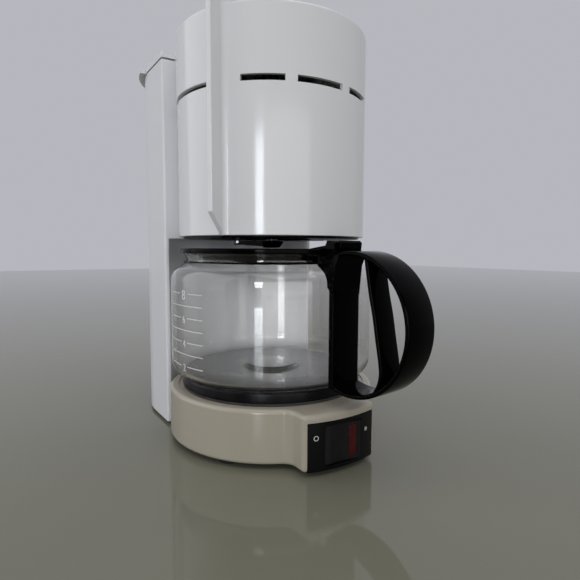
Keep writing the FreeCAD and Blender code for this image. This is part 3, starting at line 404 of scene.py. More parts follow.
def ribbon(name, path, width, thickness, edge):
    """Flat band with rounded edges along a (rho, z) line in the front-back plane."""
    section = round_block(-width / 2, width / 2, -thickness / 2, thickness / 2, edge, 4)
    n = len(section)
    verts = []
    for i, (rho, z) in enumerate(path):
        before = Vector(path[max(i - 1, 0)])
        after = Vector(path[min(i + 1, len(path) - 1)])
        along = (after - before).normalized()
        across = Vector((along.y, -along.x))
        for u, v in section:
            p = Vector((rho, z)) + across * v
            verts.append((u, -p.x, p.y))
    faces = []
    for i in range(len(path) - 1):
        for k in range(n):
            m = (k + 1) % n
            faces.append((i * n + k, i * n + m, (i + 1) * n + m, (i + 1) * n + k))
    faces.append(tuple(range(n))[::-1])
    faces.append(tuple((len(path) - 1) * n + k for k in range(n)))
    return new_piece(name, verts, faces)


def settle(piece):
    """Applies the modifiers, so that the mesh is final."""
    bpy.context.view_layer.update()
    ready = bpy.context.evaluated_depsgraph_get()
    done = bpy.data.meshes.new_from_object(piece.evaluated_get(ready))
    piece.modifiers.clear()
    old = piece.data
    piece.data = done
    bpy.data.meshes.remove(old)
    return piece


def combine(piece, operation, tools):
    for tool in tools:
        step = piece.modifiers.new("combine", "BOOLEAN")
        step.operation = operation
        step.solver = "EXACT"
        step.object = tool
    settle(piece)
    for tool in tools:
        bpy.data.objects.remove(tool)
    return piece


def cut(piece, *tools):
    return combine(piece, "DIFFERENCE", tools)


def add(piece, *tools):
    return combine(piece, "UNION", tools)


def soften(piece, width, steps=3, limit=40.0):
    """Rounds the edges that are sharper than the limit and evens the shading of flat faces."""
    work = bmesh.new()
    work.from_mesh(piece.data)
    bmesh.ops.remove_doubles(work, verts=work.verts, dist=WELD)
    bmesh.ops.dissolve_degenerate(work, edges=work.edges, dist=WELD)
    work.to_mesh(piece.data)
    work.free()
    piece.data.shade_smooth()
    bevel = piece.modifiers.new("soft_edges", "BEVEL")
    bevel.width = width * MM
    bevel.segments = steps
    bevel.limit_method = "ANGLE"
    bevel.angle_limit = math.radians(limit)
    even = piece.modifiers.new("even_shading", "WEIGHTED_NORMAL")
    even.keep_sharp = True
    return settle(piece)


def smooth(piece, limit=35.0):
    piece.data.shade_smooth()
    piece.data.set_sharp_from_angle(angle=math.radians(limit))
    return piece


def paint(piece, material):
    piece.data.materials.clear()
    piece.data.materials.append(material)


def turn(piece, angle):
    """Turns the mesh about the drum axis."""
    centre = Matrix.Translation((AXIS.x, AXIS.y, 0.0))
    piece.data.transform(centre @ Matrix.Rotation(math.radians(angle), 4, "Z") @ centre.inverted())
    return piece


def dress(piece, material, body, slot=None, *nodes):
    """Gives a piece its material and body, and hides the CAD nodes it stands for. The slot argument is
    not used.
    """
    paint(piece, material)
    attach(piece, body)
    if nodes:
        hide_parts(*nodes)


# ---- materials ----
PLATE_DARK = (0.003, 0.003, 0.0035)
PLATE_WORN = (0.009, 0.009, 0.010)
FLOOR_DARK = (0.178, 0.175, 0.132)
FLOOR_LIGHT = (0.192, 0.189, 0.145)


class Surface:
    """A Principled material with helpers for the texture nodes that feed it."""

    def __init__(self, name):
        self.material = bpy.data.materials.new(name)
        self.material.use_nodes = True
        self.nodes = self.material.node_tree.nodes
        self.links = self.material.node_tree.links
        self.shader = self.nodes["Principled BSDF"]
        self.where = self.nodes.new("ShaderNodeTexCoord").outputs["Object"]

    def set(self, **values):
        for key, value in values.items():
            socket = key.replace("_", " ").title().replace("Ior", "IOR")
            self.shader.inputs[socket].default_value = value

    def noise(self, scale, detail=3.0, rough=0.5, stretch=(1.0, 1.0, 1.0)):
        turn = self.nodes.new("ShaderNodeMapping")
        turn.inputs["Scale"].default_value = stretch
        self.links.new(self.where, turn.inputs["Vector"])
        grain = self.nodes.new("ShaderNodeTexNoise")
        grain.inputs["Scale"].default_value = scale
        grain.inputs["Detail"].default_value = detail
        grain.inputs["Roughness"].default_value = rough
        self.links.new(turn.outputs["Vector"], grain.inputs["Vector"])
        return grain.outputs["Fac"]

    def ramp(self, factor, stops):
        band = self.nodes.new("ShaderNodeValToRGB")
        ramp = band.color_ramp
        while len(ramp.elements) < len(stops):
            ramp.elements.new(0.5)
        for element, (position, colour) in zip(ramp.elements, stops):
            element.position = position
            element.color = (*colour, 1.0)
        self.links.new(factor, band.inputs["Fac"])
        return band.outputs["Color"]

    def spread(self, factor, low, high, start=0.0, end=1.0):
        band = self.nodes.new("ShaderNodeMapRange")
        band.inputs["From Min"].default_value = start
        band.inputs["From Max"].default_value = end
        band.inputs["To Min"].default_value = low
        band.inputs["To Max"].default_value = high
        self.links.new(factor, band.inputs["Value"])
        return band.outputs["Result"]

    def mix(self, factor, first, second):
        node = self.nodes.new("ShaderNodeMix")
        node.data_type = "RGBA"
        colour_a, colour_b = (i for i in node.inputs if i.type == "RGBA")
        self.plug(node.inputs["Factor"], factor)
        self.plug(colour_a, first)
        self.plug(colour_b, second)
        return next(o for o in node.outputs if o.type == "RGBA")

    def plug(self, socket, value):
        if isinstance(value, bpy.types.NodeSocket):
            self.links.new(value, socket)
        elif isinstance(value, tuple):
            socket.default_value = (*value, 1.0)
        else:
            socket.default_value = value

    def bump(self, height, strength, distance):
        relief = self.nodes.new("ShaderNodeBump")
        relief.inputs["Strength"].default_value = strength
        relief.inputs["Distance"].default_value = distance
        self.links.new(height, relief.inputs["Height"])
        self.links.new(relief.outputs["Normal"], self.shader.inputs["Normal"])

    def colour(self, value):
        self.plug(self.shader.inputs["Base Color"], value)

    def roughness(self, value):
        self.plug(self.shader.inputs["Roughness"], value)


def shade(colour, factor):
    return tuple(min(1.0, c * factor) for c in colour)


def gloss_plastic(name, colour, rough, shine, wear=0.06):
    """Polished moulding: a faint uneven tone, handling marks in the gloss and a trace of sink."""
    s = Surface(name)
    s.set(specular_ior_level=shine)
    tone = s.ramp(s.noise(9.0, 2.0), [(0.3, shade(colour, 1.0 - wear * 0.6)), (0.7, colour)])
    specks = s.ramp(s.noise(900.0, 1.0), [(0.76, (0.0, 0.0, 0.0)), (0.82, (1.0, 1.0, 1.0))])
    s.colour(s.mix(s.spread(specks, 0.0, 0.25), tone, shade(colour, 0.75)))
    s.roughness(s.spread(s.noise(38.0, 5.0, 0.62), rough * 0.75, rough * 1.5, 0.3, 0.7))
    s.bump(s.noise(55.0, 2.0), 0.02, 0.0006)
    return s.material


def satin_plastic(name, colour, rough=0.42, grain=0.12, shine=0.5):
    """Fine spark-eroded moulding, as inside the machine and under it."""
    s = Surface(name)
    s.set(specular_ior_level=shine)
    s.colour(s.ramp(s.noise(60.0, 4.0), [(0.3, shade(colour, 0.86)), (0.7, shade(colour, 1.08))]))
    s.roughness(s.spread(s.noise(120.0, 4.0), rough * 0.8, rough * 1.2, 0.3, 0.7))
    s.bump(s.noise(1500.0, 2.0), grain, 0.0002)
    return s.material


def metal(name, colour, rough=0.28, stretch=(1.0, 1.0, 14.0)):
    s = Surface(name)
    s.set(metallic=1.0)
    s.colour(s.ramp(s.noise(80.0, 4.0, 0.6, stretch), [(0.3, shade(colour, 0.82)), (0.7, colour)]))
    s.roughness(s.spread(s.noise(140.0, 4.0, 0.6, stretch), rough * 0.7, rough * 1.4, 0.3, 0.7))
    s.bump(s.noise(400.0, 3.0, 0.6, stretch), 0.08, 0.0002)
    return s.material


def rubber(name, colour, rough=0.6):
    s = Surface(name)
    s.set(specular_ior_level=0.35)
    s.colour(s.ramp(s.noise(90.0, 5.0), [(0.3, shade(colour, 0.75)), (0.7, shade(colour, 1.2))]))
    s.roughness(s.spread(s.noise(200.0, 3.0), rough * 0.85, rough * 1.15, 0.3, 0.7))
    s.bump(s.noise(900.0, 3.0), 0.2, 0.0003)
    return s.material


def clear(name, tint, rough=0.0, ior=1.47, haze=0.02):
    """Clear glass or silicone with the faintest ripple and a trace of film on it."""
    s = Surface(name)
    s.set(transmission_weight=1.0, ior=ior, specular_ior_level=0.5)
    s.colour(s.ramp(s.noise(30.0, 3.0), [(0.35, shade(tint, 0.985)), (0.65, tint)]))
    s.roughness(s.spread(s.noise(45.0, 5.0, 0.65), rough, rough + haze, 0.5, 0.85))
    s.bump(s.noise(14.0, 1.0), 0.01, 0.001)
    return s.material


def heater_coating(name):
    """Black coated steel of the warming plate, burnished in rings by the jug."""
    s = Surface(name)
    s.set(specular_ior_level=0.14)
    rings = s.noise(70.0, 4.0, 0.6)
    s.colour(s.ramp(rings, [(0.3, PLATE_DARK), (0.75, PLATE_WORN)]))
    s.roughness(s.spread(s.noise(25.0, 5.0, 0.6), 0.12, 0.34, 0.3, 0.7))
    s.bump(s.noise(600.0, 3.0), 0.06, 0.0002)
    return s.material


def lens_plastic(name, colour):
    s = Surface(name)
    s.set(transmission_weight=0.35, ior=1.49, specular_ior_level=0.5)
    s.colour(s.ramp(s.noise(250.0, 2.0), [(0.3, shade(colour, 0.8)), (0.7, colour)]))
    s.roughness(s.spread(s.noise(160.0, 3.0), 0.14, 0.3, 0.3, 0.7))
    s.bump(s.noise(500.0, 1.0), 0.1, 0.0003)
    return s.material


def print_ink(name, colour):
    s = Surface(name)
    s.colour(s.ramp(s.noise(700.0, 3.0), [(0.35, shade(colour, 0.8)), (0.6, colour)]))
    s.roughness(s.spread(s.noise(300.0, 3.0), 0.35, 0.6, 0.3, 0.7))
    return s.material


def floor_material(name):
    s = Surface(name)
    s.set(specular_ior_level=0.5)
    s.colour(s.ramp(s.noise(3.0, 3.0), [(0.3, FLOOR_DARK), (0.7, FLOOR_LIGHT)]))
    s.roughness(s.spread(s.noise(6.0, 4.0), 0.045, 0.075, 0.3, 0.7))
    return s.material


WHITE = gloss_plastic("white_moulding", (0.76, 0.765, 0.785), 0.11, 0.42)
# Column and lid white: the drum's white moulding made a shade darker as painted shade, with a rougher
# gloss.
WHITE_FIXED_SHADED = gloss_plastic("white_column_moulding_shaded", (0.75, 0.755, 0.78), 0.18, 0.4)
# Base colour: the cream plastic's own tone, made darker as painted shade for the shade the base lies in
# under the drum and jug.
CREAM_AND_PAINTED_SHADE = gloss_plastic("cream_base_moulding_and_shade", (0.405, 0.368, 0.298), 0.16, 0.45, wear=0.1)
BLACK = gloss_plastic("black_handle_moulding", (0.0013, 0.0011, 0.0014), 0.07, 0.035, wear=0.3)
BLACK_PANEL = gloss_plastic("black_panel_moulding", (0.0025, 0.0025, 0.0032), 0.18, 0.22, wear=0.2)
ROCKER_GREY = satin_plastic("rocker_moulding", (0.0075, 0.0072, 0.0085), 0.4, 0.2, 0.25)
BLACK_SATIN = satin_plastic("black_inner_moulding", (0.003, 0.0028, 0.003), 0.30, 0.12, 0.12)
GREY_INNER = satin_plastic("grey_inner_moulding", (0.32, 0.32, 0.31), 0.45)
# Jug glass: its grey tint is painted shade; it darkens what is seen through the glass in place of the
# shadow the glass does not cast.
SHADE_TINTED_GLASS = clear("jug_glass", (0.88, 0.875, 0.865), haze=0.0)
SILICONE = clear("silicone_hose", (0.86, 0.86, 0.82), 0.25, 1.41, 0.2)
PLATE = heater_coating("plate_coating")
STEEL = metal("bright_steel", (0.62, 0.62, 0.63))
ALUMINIUM = metal("cast_aluminium", (0.55, 0.55, 0.56), 0.42, (1.0, 1.0, 1.0))
SEAL_RUBBER = rubber("seal_rubber", (0.05, 0.05, 0.05))
FOOT_RUBBER = rubber("foot_rubber", (0.012, 0.012, 0.012), 0.7)
RED_LENS = lens_plastic("red_lens", (0.085, 0.001, 0.004))
LAMP = lens_plastic("neon_lamp", (0.75, 0.32, 0.16))
CERAMIC = satin_plastic("terminal_ceramic", (0.62, 0.6, 0.55), 0.55)
SLEEVING = satin_plastic("lead_sleeving", (0.35, 0.30, 0.16), 0.6)
INK = print_ink("white_print", (0.8, 0.8, 0.78))


# ---- filter drum ----
def wall_lines(outer, inner, low, high, top_round, rows=()):
    """Outside and inside lines of a drum wall, with a rounded top edge outside."""
    levels = [low, low + WALL_EDGE, *rows, high - top_round]
    outside = [(outer - (WALL_EDGE if z == low else 0.0), z) for z in levels]
    steps = 5
    for k in range(1, steps + 1):
        a = math.radians(90.0 / steps * k)
        outside.append((outer - top_round * (1 - math.cos(a)), high - top_round * (1 - math.sin(a))))
    inside = [(inner, z) for _, z in outside]
    return outside, inside


def filter_door():
    inner = DRUM_R - WALL
    outside, inside = wall_lines(DRUM_R, inner, DRUM_BOTTOM, CAP_TOP, TOP_ROUND, SLOT_BAND)
    wall = shell("door_shell", outside, inside, FIN_ANGLE, DOOR_END, SLOTS, SLOT_BAND, 1.2)
    dress(soften(wall, 0.45, 3, 50.0), WHITE, "door_unit", "white_shell", "filter_door")


def door_fin():
    root = DRUM_R - 1.2
    outline = [(root, DRUM_BOTTOM, 0.0), (DRUM_R + 0.2, DRUM_BOTTOM, 0.6),
               (FIN_REACH, DRUM_BOTTOM + FIN_REACH - DRUM_R, 1.5), (FIN_REACH, FIN_TOP, 1.2),
               (root, FIN_TOP, 1.2)]
    fin = extruded("door_fin", rounded(outline), -FIN_THICK / 2, FIN_THICK / 2, side)
    turn(fin, FIN_ANGLE + math.degrees(FIN_THICK / 2 / DRUM_R))
    dress(soften(fin, 0.55), WHITE, "door_unit", "white_shell")


def door_fin_blend():
    """Concave run-out between the fin and the door, on the side that faces the front."""
    size = FIN_BLEND
    sunk = DRUM_R - 1.0
    start = FIN_ANGLE + math.degrees(FIN_THICK / DRUM_R)
    out = Vector(polar(1.0, start)[:2])
    along = Vector(polar(1.0, start + 90.0)[:2])
    outline = [tuple(out * sunk - along * 0.3)]
    centre = out * (DRUM_R + size) + along * size
    steps = 12
    for k in range(steps + 1):
        a = math.radians(90.0 * k / steps)
        point = centre - along * (size * math.cos(a)) - out * (size * math.sin(a) + 0.08)
        outline.append(tuple(point))
    outline.append(tuple(out * sunk + along * (size + 0.4)))
    blend = extruded("door_fin_blend", outline[::-1], DRUM_BOTTOM + 0.2, CAP_TOP - 0.3)
    dress(smooth(blend, 40.0), WHITE, "door_unit", "white_shell")


def door_barrel():
    """Hinge tube of the door, between the two eyes of the fixed shell."""
    low = LUG_LOW[1] + HINGE_GAP
    high = LUG_HIGH[0] - HINGE_GAP
    profile = rounded([(BARREL_BORE, low, 0.0), (BARREL_R, low, 0.5), (BARREL_R, high, 0.5),
                       (BARREL_BORE, high, 0.0)], 3)
    barrel = lathe("door_barrel", profile, step=BARREL_STEP, about=HINGE)
    dress(smooth(barrel), WHITE, "door_unit", "white_shell")


def hinge_lug(name, low, high, capped):
    """Eye for the hinge pin, on an arm from the fixed shell."""
    bore = 0.0 if capped else LUG_BORE
    profile = rounded([(bore, low, 0.0), (LUG_R, low, 0.4), (LUG_R, high, 0.4), (bore, high, 0.0)], 3)
    eye = lathe(name, profile, step=BARREL_STEP, about=HINGE)
    arm = lathe(name + "_arm", block(HINGE_RHO - 4.0, HINGE_RHO + 1.0, low, high),
                DOOR_END + 1.0, SHELL_START + 6.0)
    add(eye, arm)
    dress(smooth(eye), WHITE, "chassis", "white_shell")


def rear_shell():
    outside, inside = wall_lines(SHELL_R, INNER_R, SHELL_BOTTOM, SHELL_TOP, WALL_EDGE)
    wall = shell("rear_shell", outside, inside, SHELL_START, SHELL_END)
    dress(soften(wall, 0.3, 2, 50.0), WHITE, "chassis", "white_shell", "drum_rear_shell")


def drum_cap():
    outside, inside = wall_lines(CAP_R, INNER_R, CAP_BOTTOM, CAP_TOP, TOP_ROUND)
    wall = shell("drum_cap_skirt", outside, inside, SHELL_START, SHELL_END)
    dress(soften(wall, 0.4, 3, 50.0), WHITE, "chassis", "white_shell", "brew_cap")
    under = CAP_TOP - CAP_THICK
    top = lathe("drum_cap_top", rounded([(0.0, under, 0.0), (INNER_R, under, 0.3),
                                         (INNER_R, CAP_TOP, 0.7), (0.0, CAP_TOP, 0.0)]))
    cut(top, post("hinge_clearance", BARREL_R + 2.2, 0.0, ABOVE_ALL, 8.0, HINGE))
    dress(smooth(top), WHITE, "chassis", "white_shell")


def carrier_floor():
    """Black floor of the swing-out holder, cut so that it clears the fixed shell as it swings."""
    top = CARRIER_BOTTOM + CARRIER_THICK
    floor = lathe("carrier_floor", rounded([
        (CARRIER_HOLE_R, CARRIER_BOTTOM, 0.4), (CARRIER_R, CARRIER_BOTTOM, 0.8),
        (CARRIER_R, top, 0.4), (CARRIER_HOLE_R, top, 0.4)]))
    clearance = post("barrel_clearance", BARREL_R + 1.0, 0.0, ABOVE_ALL, 8.0, HINGE)
    edge = Vector(polar(INNER_R, SHELL_END)[:2])
    sweep = (edge - Vector(HINGE)).length - 0.5
    keep = lathe("door_sweep", block(sweep, sweep + 40.0, 130.0, 160.0), about=HINGE)
    cut(floor, clearance, keep)
    dress(smooth(floor), BLACK_SATIN, "door_unit", "inner_plastic", "filter_carrier")


def drip_nose():
    """Rounded nose of the drip stop, with the lever that runs back to its pivot."""
    low, top = NOSE_BOTTOM, NOSE_TOP
    floor = low + 1.5
    nose = lathe("drip_nose", rounded([
        (NOSE_BORE, floor, 0.0), (0.0, floor, 0.0), (0.0, low, 0.0), (6.0, low, 1.4), (NOSE_R, top, 0.6),
        (5.2, top, 0.0), (5.2, floor, 0.0)]), step=6.0)
    arm = extruded("drip_arm", [
        (6.5, low + 0.9), (LEVER_END, low + 2.4), (LEVER_END + 1.9, low + 4.1), (LEVER_END, top),
        (6.5, top)], -LEVER_HALF, LEVER_HALF, side)
    add(nose, arm)
    dress(soften(turn(nose, LEVER_TURN), 0.35, 2), BLACK, "drip_stop", "black_gloss", "drip_lever")


# ---- water column ----
def column_outline(inset):
    """Flat front and sides with a round back; anticlockwise from the front left corner."""
    half = COLUMN_HALF - inset
    face = COLUMN_FRONT + inset
    corner = COLUMN_CORNER if inset == 0 else 0.0
    points = rounded([(-half, face, corner), (half, face, corner), (half, COLUMN_SIDE_END, 0.0),
                      (0.0, COLUMN_SIDE_END + half, 0.0), (-half, COLUMN_SIDE_END, 0.0)])
    points.remove((0.0, COLUMN_SIDE_END + half))
    back = []
    for degrees in range(3, 180, 3):
        a = math.radians(degrees)
        back.append((half * math.cos(a), COLUMN_SIDE_END + half * math.sin(a)))
    at = points.index((half, COLUMN_SIDE_END)) + 1
    return points[:at] + back + points[at:]


def water_column():
    body = extruded("water_column", column_outline(0.0), COLUMN_BOTTOM, COLUMN_TOP)
    cut(body, post("jug_recess", RECESS_R, -1.0, DRUM_SEAT_Z),
        post("drum_seat", DRUM_SEAT_R, 100.0, ABOVE_ALL))
    step_z = DRUM_SEAT_Z + WALL
    low = extruded("tank_low", column_outline(WALL), TANK_FLOOR, step_z)
    cut(low, post("recess_wall", RECESS_R + WALL, 0.0, ABOVE_ALL))
    high = extruded("tank_high", column_outline(WALL), step_z - 1.0, COLUMN_TOP + 1.0)
    cut(high, post("seat_wall", DRUM_SEAT_R + WALL, 0.0, ABOVE_ALL))
    cut(body, low, high)
    dress(soften(body, 0.7), WHITE_FIXED_SHADED, "chassis", "white_shell", "tank_column")


def tank_lid():
    """Lid with a finger lip round its back and a horn on each side of the drum."""
    plate = extruded("tank_lid_shell", column_outline(0.0), LID_BOTTOM, LID_TOP)
    lip = extruded("lid_lip", column_outline(-LID_LIP), LID_BOTTOM, LID_TOP)
    cut(lip, extruded("lip_front", block(-90, 90, 0, COLUMN_SIDE_END + 8.0), 0.0, ABOVE_ALL))
    add(plate, lip)
    cut(plate, post("drum_clearance", DRUM_R + 1.9, 200.0, ABOVE_ALL),
        extruded("horn_gap", block(-HORN_INNER_X, HORN_INNER_X, 0, HORN_END_Y), 200.0, ABOVE_ALL))
    dress(soften(plate, 0.8), WHITE_FIXED_SHADED, "lid_unit", "white_shell", "tank_lid")


# ---- base ----
def arc_about(centre, radius, first, last, steps):
    """Points on an arc with both its ends; the angles are in radians."""
    turns = [first + (last - first) * k / steps for k in range(steps + 1)]
    return [(centre.x + radius * math.cos(a), centre.y + radius * math.sin(a)) for a in turns]


def base_outline(inset=0.0):
    """Round base with the console block in front, blended where the two meet."""
    r = BASE_R - inset
    w = CONSOLE_HALF - inset
    reach = CONSOLE_R - inset
    blend = CONSOLE_BLEND + inset
    nose = CONSOLE_CORNER - inset
    meet = Vector((w + blend, -math.sqrt((r + blend) ** 2 - (w + blend) ** 2)))
    corner = Vector((w - nose, -math.sqrt((reach - nose) ** 2 - (w - nose) ** 2)))
    right = arc_about(meet, blend, math.atan2(-meet.y, -meet.x), math.pi, 8)
    right += arc_about(corner, nose, 0.0, math.atan2(corner.y, corner.x), 6)
    left = [(-x, y) for x, y in right[::-1]]
    edge = math.degrees(math.atan2(corner.x, -corner.y))
    steps = 24
    arc = [polar(reach, edge * (1 - 2 * k / steps))[:2] for k in range(1, steps)]
    on_disc = math.degrees(math.atan2(meet.x, -meet.y))
    steps = 160
    rest = [polar(r, -on_disc - (360.0 - 2 * on_disc) * k / steps)[:2] for k in range(1, steps)]
    return right + arc + left + rest


def base_shell():
    body = extruded("base_shell", base_outline(), BASE_BOTTOM, BASE_TOP)
    rim = body.modifiers.new("top_round", "BEVEL")
    rim.width = BASE_ROUND * MM
    rim.segments = 6
    rim.limit_method = "ANGLE"
    rim.angle_limit = math.radians(60.0)
    settle(body)
    well = lathe("plate_well", [(0.0, BASE_TOP - 8.0), (60.0, BASE_TOP - 8.0), (60.0, BASE_TOP - 1.0),
                                (PLATE_WELL_R, BASE_TOP - 1.0), (PLATE_WELL_R + 0.9, BASE_TOP + 2.0),
                                (0.0, BASE_TOP + 2.0)])
    recess = lathe("panel_recess", block(CONSOLE_R - 1.6, CONSOLE_R + 4.0, 0.0, PANEL_TOP + 0.25),
                   -20.0, 20.0)
    half = PANEL_HALF + 0.2
    window = extruded("panel_window", block(-half, half, -100, -40), -1.0, 60.0)
    combine(recess, "INTERSECT", [window])
    half = ROCKER_HALF + 1.5
    opening = extruded("rocker_opening", block(-half, half, -92, -80),
                       ROCKER_Z[0] - 1.5, ROCKER_Z[1] + 1.5)
    hollow = extruded("base_hollow", base_outline(WALL), BASE_BOTTOM - 1.0, BASE_TOP - WALL - 1.0)
    cut(body, hollow, well, recess, opening)
    dress(soften(body, 0.35, 2, 50.0), CREAM_AND_PAINTED_SHADE, "chassis", "cream_base", "base_housing")


def console():
    outline = [(-PANEL_HALF, BASE_BOTTOM, 0.4), (PANEL_HALF, BASE_BOTTOM, 0.4),
               (PANEL_HALF, PANEL_TOP, 2.0), (-PANEL_HALF, PANEL_TOP, 2.0)]
    slab = extruded("console_front", rounded(outline), 70.0, 100.0, front)
    ring = lathe("panel_ring", block(CONSOLE_R - 1.5, CONSOLE_R, 0.0, 60.0), *CONSOLE_SPAN, 0.5)
    combine(slab, "INTERSECT", [ring])
    half = ROCKER_HALF + ROCKER_GAP
    low, high = ROCKER_Z[0] - ROCKER_GAP, ROCKER_Z[1] + ROCKER_GAP
    hole = extruded("rocker_hole", round_block(-half, half, low, high, 1.6), 60.0, 100.0, front)
    cut(slab, hole)
    dress(soften(slab, 0.3, 2, 50.0), BLACK_PANEL, "chassis", "dark_panel", "console_panel")


def rocker_block(name, x, z, radius, gap=0.0):
    """Part of the rocker's face: a slab in front, dished for the finger."""
    slab = extruded(name, round_block(*x, *z, radius), 84.0, 96.0, front)
    limit = lathe(name + "_limit", block(70.0, ROCKER_FACE_R - gap, 0.0, 60.0), *CONSOLE_SPAN, 0.5)
    combine(slab, "INTERSECT", [limit])
    centre = -ROCKER_FACE_R - ROCKER_DISH_R + ROCKER_DISH_DEPTH
    return cut(slab, post(name + "_dish", ROCKER_DISH_R, 0.0, 60.0, 1.0, (0.0, centre)))


def tilt_to_off(piece):
    """Turns a rocker piece to the position the CAD rocker rests in."""
    there = Matrix.Translation(place(0.0, -ROCKER_AXIS, 0.0))
    tilt = Matrix.Rotation(math.radians(ROCKER_REST), 4, "Z")
    piece.data.transform(there @ tilt @ there.inverted())
    return piece


def rocker():
    face = rocker_block("rocker_face", (-ROCKER_HALF, ROCKER_HALF), ROCKER_Z, 1.4)
    cut(face, extruded("lens_window", round_block(*LENS_X, *LENS_Z, 1.2), 70.0, 100.0, front))
    dress(soften(tilt_to_off(face), 0.3, 2, 50.0), ROCKER_GREY, "rocker", "rocker_dark", "rocker_switch")
    lens = rocker_block("rocker_lens_bar", (LENS_X[0] + LENS_GAP, LENS_X[1] - LENS_GAP),
                        (LENS_Z[0] + LENS_GAP, LENS_Z[1] - LENS_GAP), 1.1, 0.15)
    dress(soften(tilt_to_off(lens), 0.25, 2, 50.0), RED_LENS, "rocker", "red_lens", "rocker_lens")


def warming_plate():
    top = PLATE_TOP
    disc = lathe("warming_plate", rounded([
        (0.0, top - 2.6, 0.0), (PLATE_R - 2.5, top - 2.6, 0.0), (PLATE_R - 2.5, PLATE_SKIRT_Z, 0.0),
        (PLATE_R, PLATE_SKIRT_Z, 0.4), (PLATE_R, top, 1.5), (60.0, top, 0.5), (58.6, top - 0.8, 0.5),
        (0.0, top - 0.8, 0.0)]), step=1.5)
    dress(smooth(disc), PLATE, "chassis", "plate_black", "hot_plate")


def feet():
    for i, (x, y, top) in enumerate(FOOT_SPOTS):
        profile = rounded([(0.0, 0.6, 0.0), (4.5, 0.6, 0.3), (5.2, 0.0, 0.3), (FOOT_R, 0.0, 1.0),
                           (FOOT_R, top, 0.3), (0.0, top, 0.0)])
        foot = lathe("foot_%d" % (i + 1), profile, step=10.0, about=(x, y))
        nodes = ["rubber_feet"] if i == 0 else []
        dress(smooth(foot), FOOT_RUBBER, "chassis", "foot_rubber", *nodes)


# ---- jug ----
def jug_glass():
    """Blown wall with a raised punt in the bottom, a narrower neck and a flared lip."""
    r, z, top = GLASS_R, GLASS_BASE, GLASS_TOP + 0.2
    inner = r - GLASS_WALL
    floor = z + GLASS_WALL
    outside = [(0.0, z + 2.6, 0.0), (PUNT_R, z + 2.4, 1.0), (PUNT_R + 3.0, z, 1.0), (r, z, 11.0),
               (r, SHOULDER_Z, 10.5), (NECK_R, NECK_Z, 2.4), (64.9, top, 0.7)]
    inside = [(63.2, top, 0.7), (59.4, 126.4, 3.6), (inner, SHOULDER_Z - 1.0, 8.6), (inner, floor, 9.5),
              (PUNT_R + 4.0, floor, 1.0), (PUNT_R + 0.6, z + 4.4, 1.0), (0.0, z + 4.6, 0.0)]
    glass = lathe("jug_glass_wall", rounded(outside + inside, 8))
    # The glass casts no shadow; its grey tint stands in for that shadow as painted shade.
    glass.visible_shadow = False
    dress(smooth(glass, 80.0), SHADE_TINTED_GLASS, "jug", "jug_glass", "carafe_glass")


# ---- scale on the jug: one mark for each cup from the second to the eighth ----
MARK_START = -98.0
MARK_END = -66.8
MARK_LOW = 57.9
MARK_HIGH = 105.7
MARK_THICK = 0.55
FIRST_CUP = 2
LAST_CUP = 8
NUMERAL_ANGLE = -82.0
NUMERAL_DROP = 1.2
NUMERAL_WEIGHT = -0.04
NUMERAL_SIZE = 7.2
NUMERAL_ROOM = 3.0
LAST_NUMERAL_SIZE = 9.4
LAST_NUMERAL_ROOM = 4.4
INK_LIFT = 0.02
INK_THICK = 0.07


def mark_strip(name, start, end, z):
    """Thin print on the glass, from one angle to another."""
    under = GLASS_R + INK_LIFT
    profile = block(under, under + INK_THICK, z - MARK_THICK / 2, z + MARK_THICK / 2)
    dress(lathe(name, profile, start, end, 1.0), INK, "jug")


def numeral(name, text, size, angle, z):
    """A number bent round the glass."""
    curve = bpy.data.curves.new(name, "FONT")
    curve.body = text
    curve.size = size
    curve.align_x = "CENTER"
    curve.align_y = "CENTER"
    curve.resolution_u = 6
    curve.offset = NUMERAL_WEIGHT
    words = bpy.data.objects.new(name + "_text", curve)
    scene.collection.objects.link(words)
    bpy.context.view_layer.update()
    ready = bpy.context.evaluated_depsgraph_get()
    mesh = bpy.data.meshes.new_from_object(words.evaluated_get(ready))
    bpy.data.objects.remove(words)
    work = bmesh.new()
    work.from_mesh(mesh)
    bmesh.ops.remove_doubles(work, verts=work.verts, dist=1e-4)
    work.verts.index_update()
    verts = []
    for lift in (INK_LIFT, INK_LIFT + INK_THICK):
        for v in work.verts:
            bent = angle + math.degrees(v.co.x / GLASS_R)
            verts.append(polar(GLASS_R + lift, bent, z + v.co.y))
    n = len(work.verts)
    under = [[v.index for v in f.verts] for f in work.faces]
    over = [[i + n for i in face] for face in under]
    rim = [(corner.vert.index, corner.link_loop_next.vert.index)
           for f in work.faces for corner in f.loops if corner.edge.is_boundary]
    work.free()
    bpy.data.meshes.remove(mesh)
    walls = [(i, j, j + n, i + n) for i, j in rim]
    dress(new_piece(name, verts, under + over + walls), INK, "jug")


def cup_marks():
    """A line for each cup. The even ones are parted by their numeral, and the last is larger."""
    pitch = (MARK_HIGH - MARK_LOW) / (LAST_CUP - FIRST_CUP)
    for cups in range(FIRST_CUP, LAST_CUP + 1):
        z = MARK_LOW + pitch * (cups - FIRST_CUP)
        name = "cup_mark_%d" % cups
        if cups % 2:
            mark_strip(name, MARK_START, MARK_END, z)
            continue
        last = cups == LAST_CUP
        room = LAST_NUMERAL_ROOM if last else NUMERAL_ROOM
        size = LAST_NUMERAL_SIZE if last else NUMERAL_SIZE
        mark_strip(name + "a", MARK_START, NUMERAL_ANGLE - room, z)
        mark_strip(name + "b", NUMERAL_ANGLE + room, MARK_END, z)
        numeral("cup_numeral_%d" % cups, str(cups), size, NUMERAL_ANGLE, z - NUMERAL_DROP)


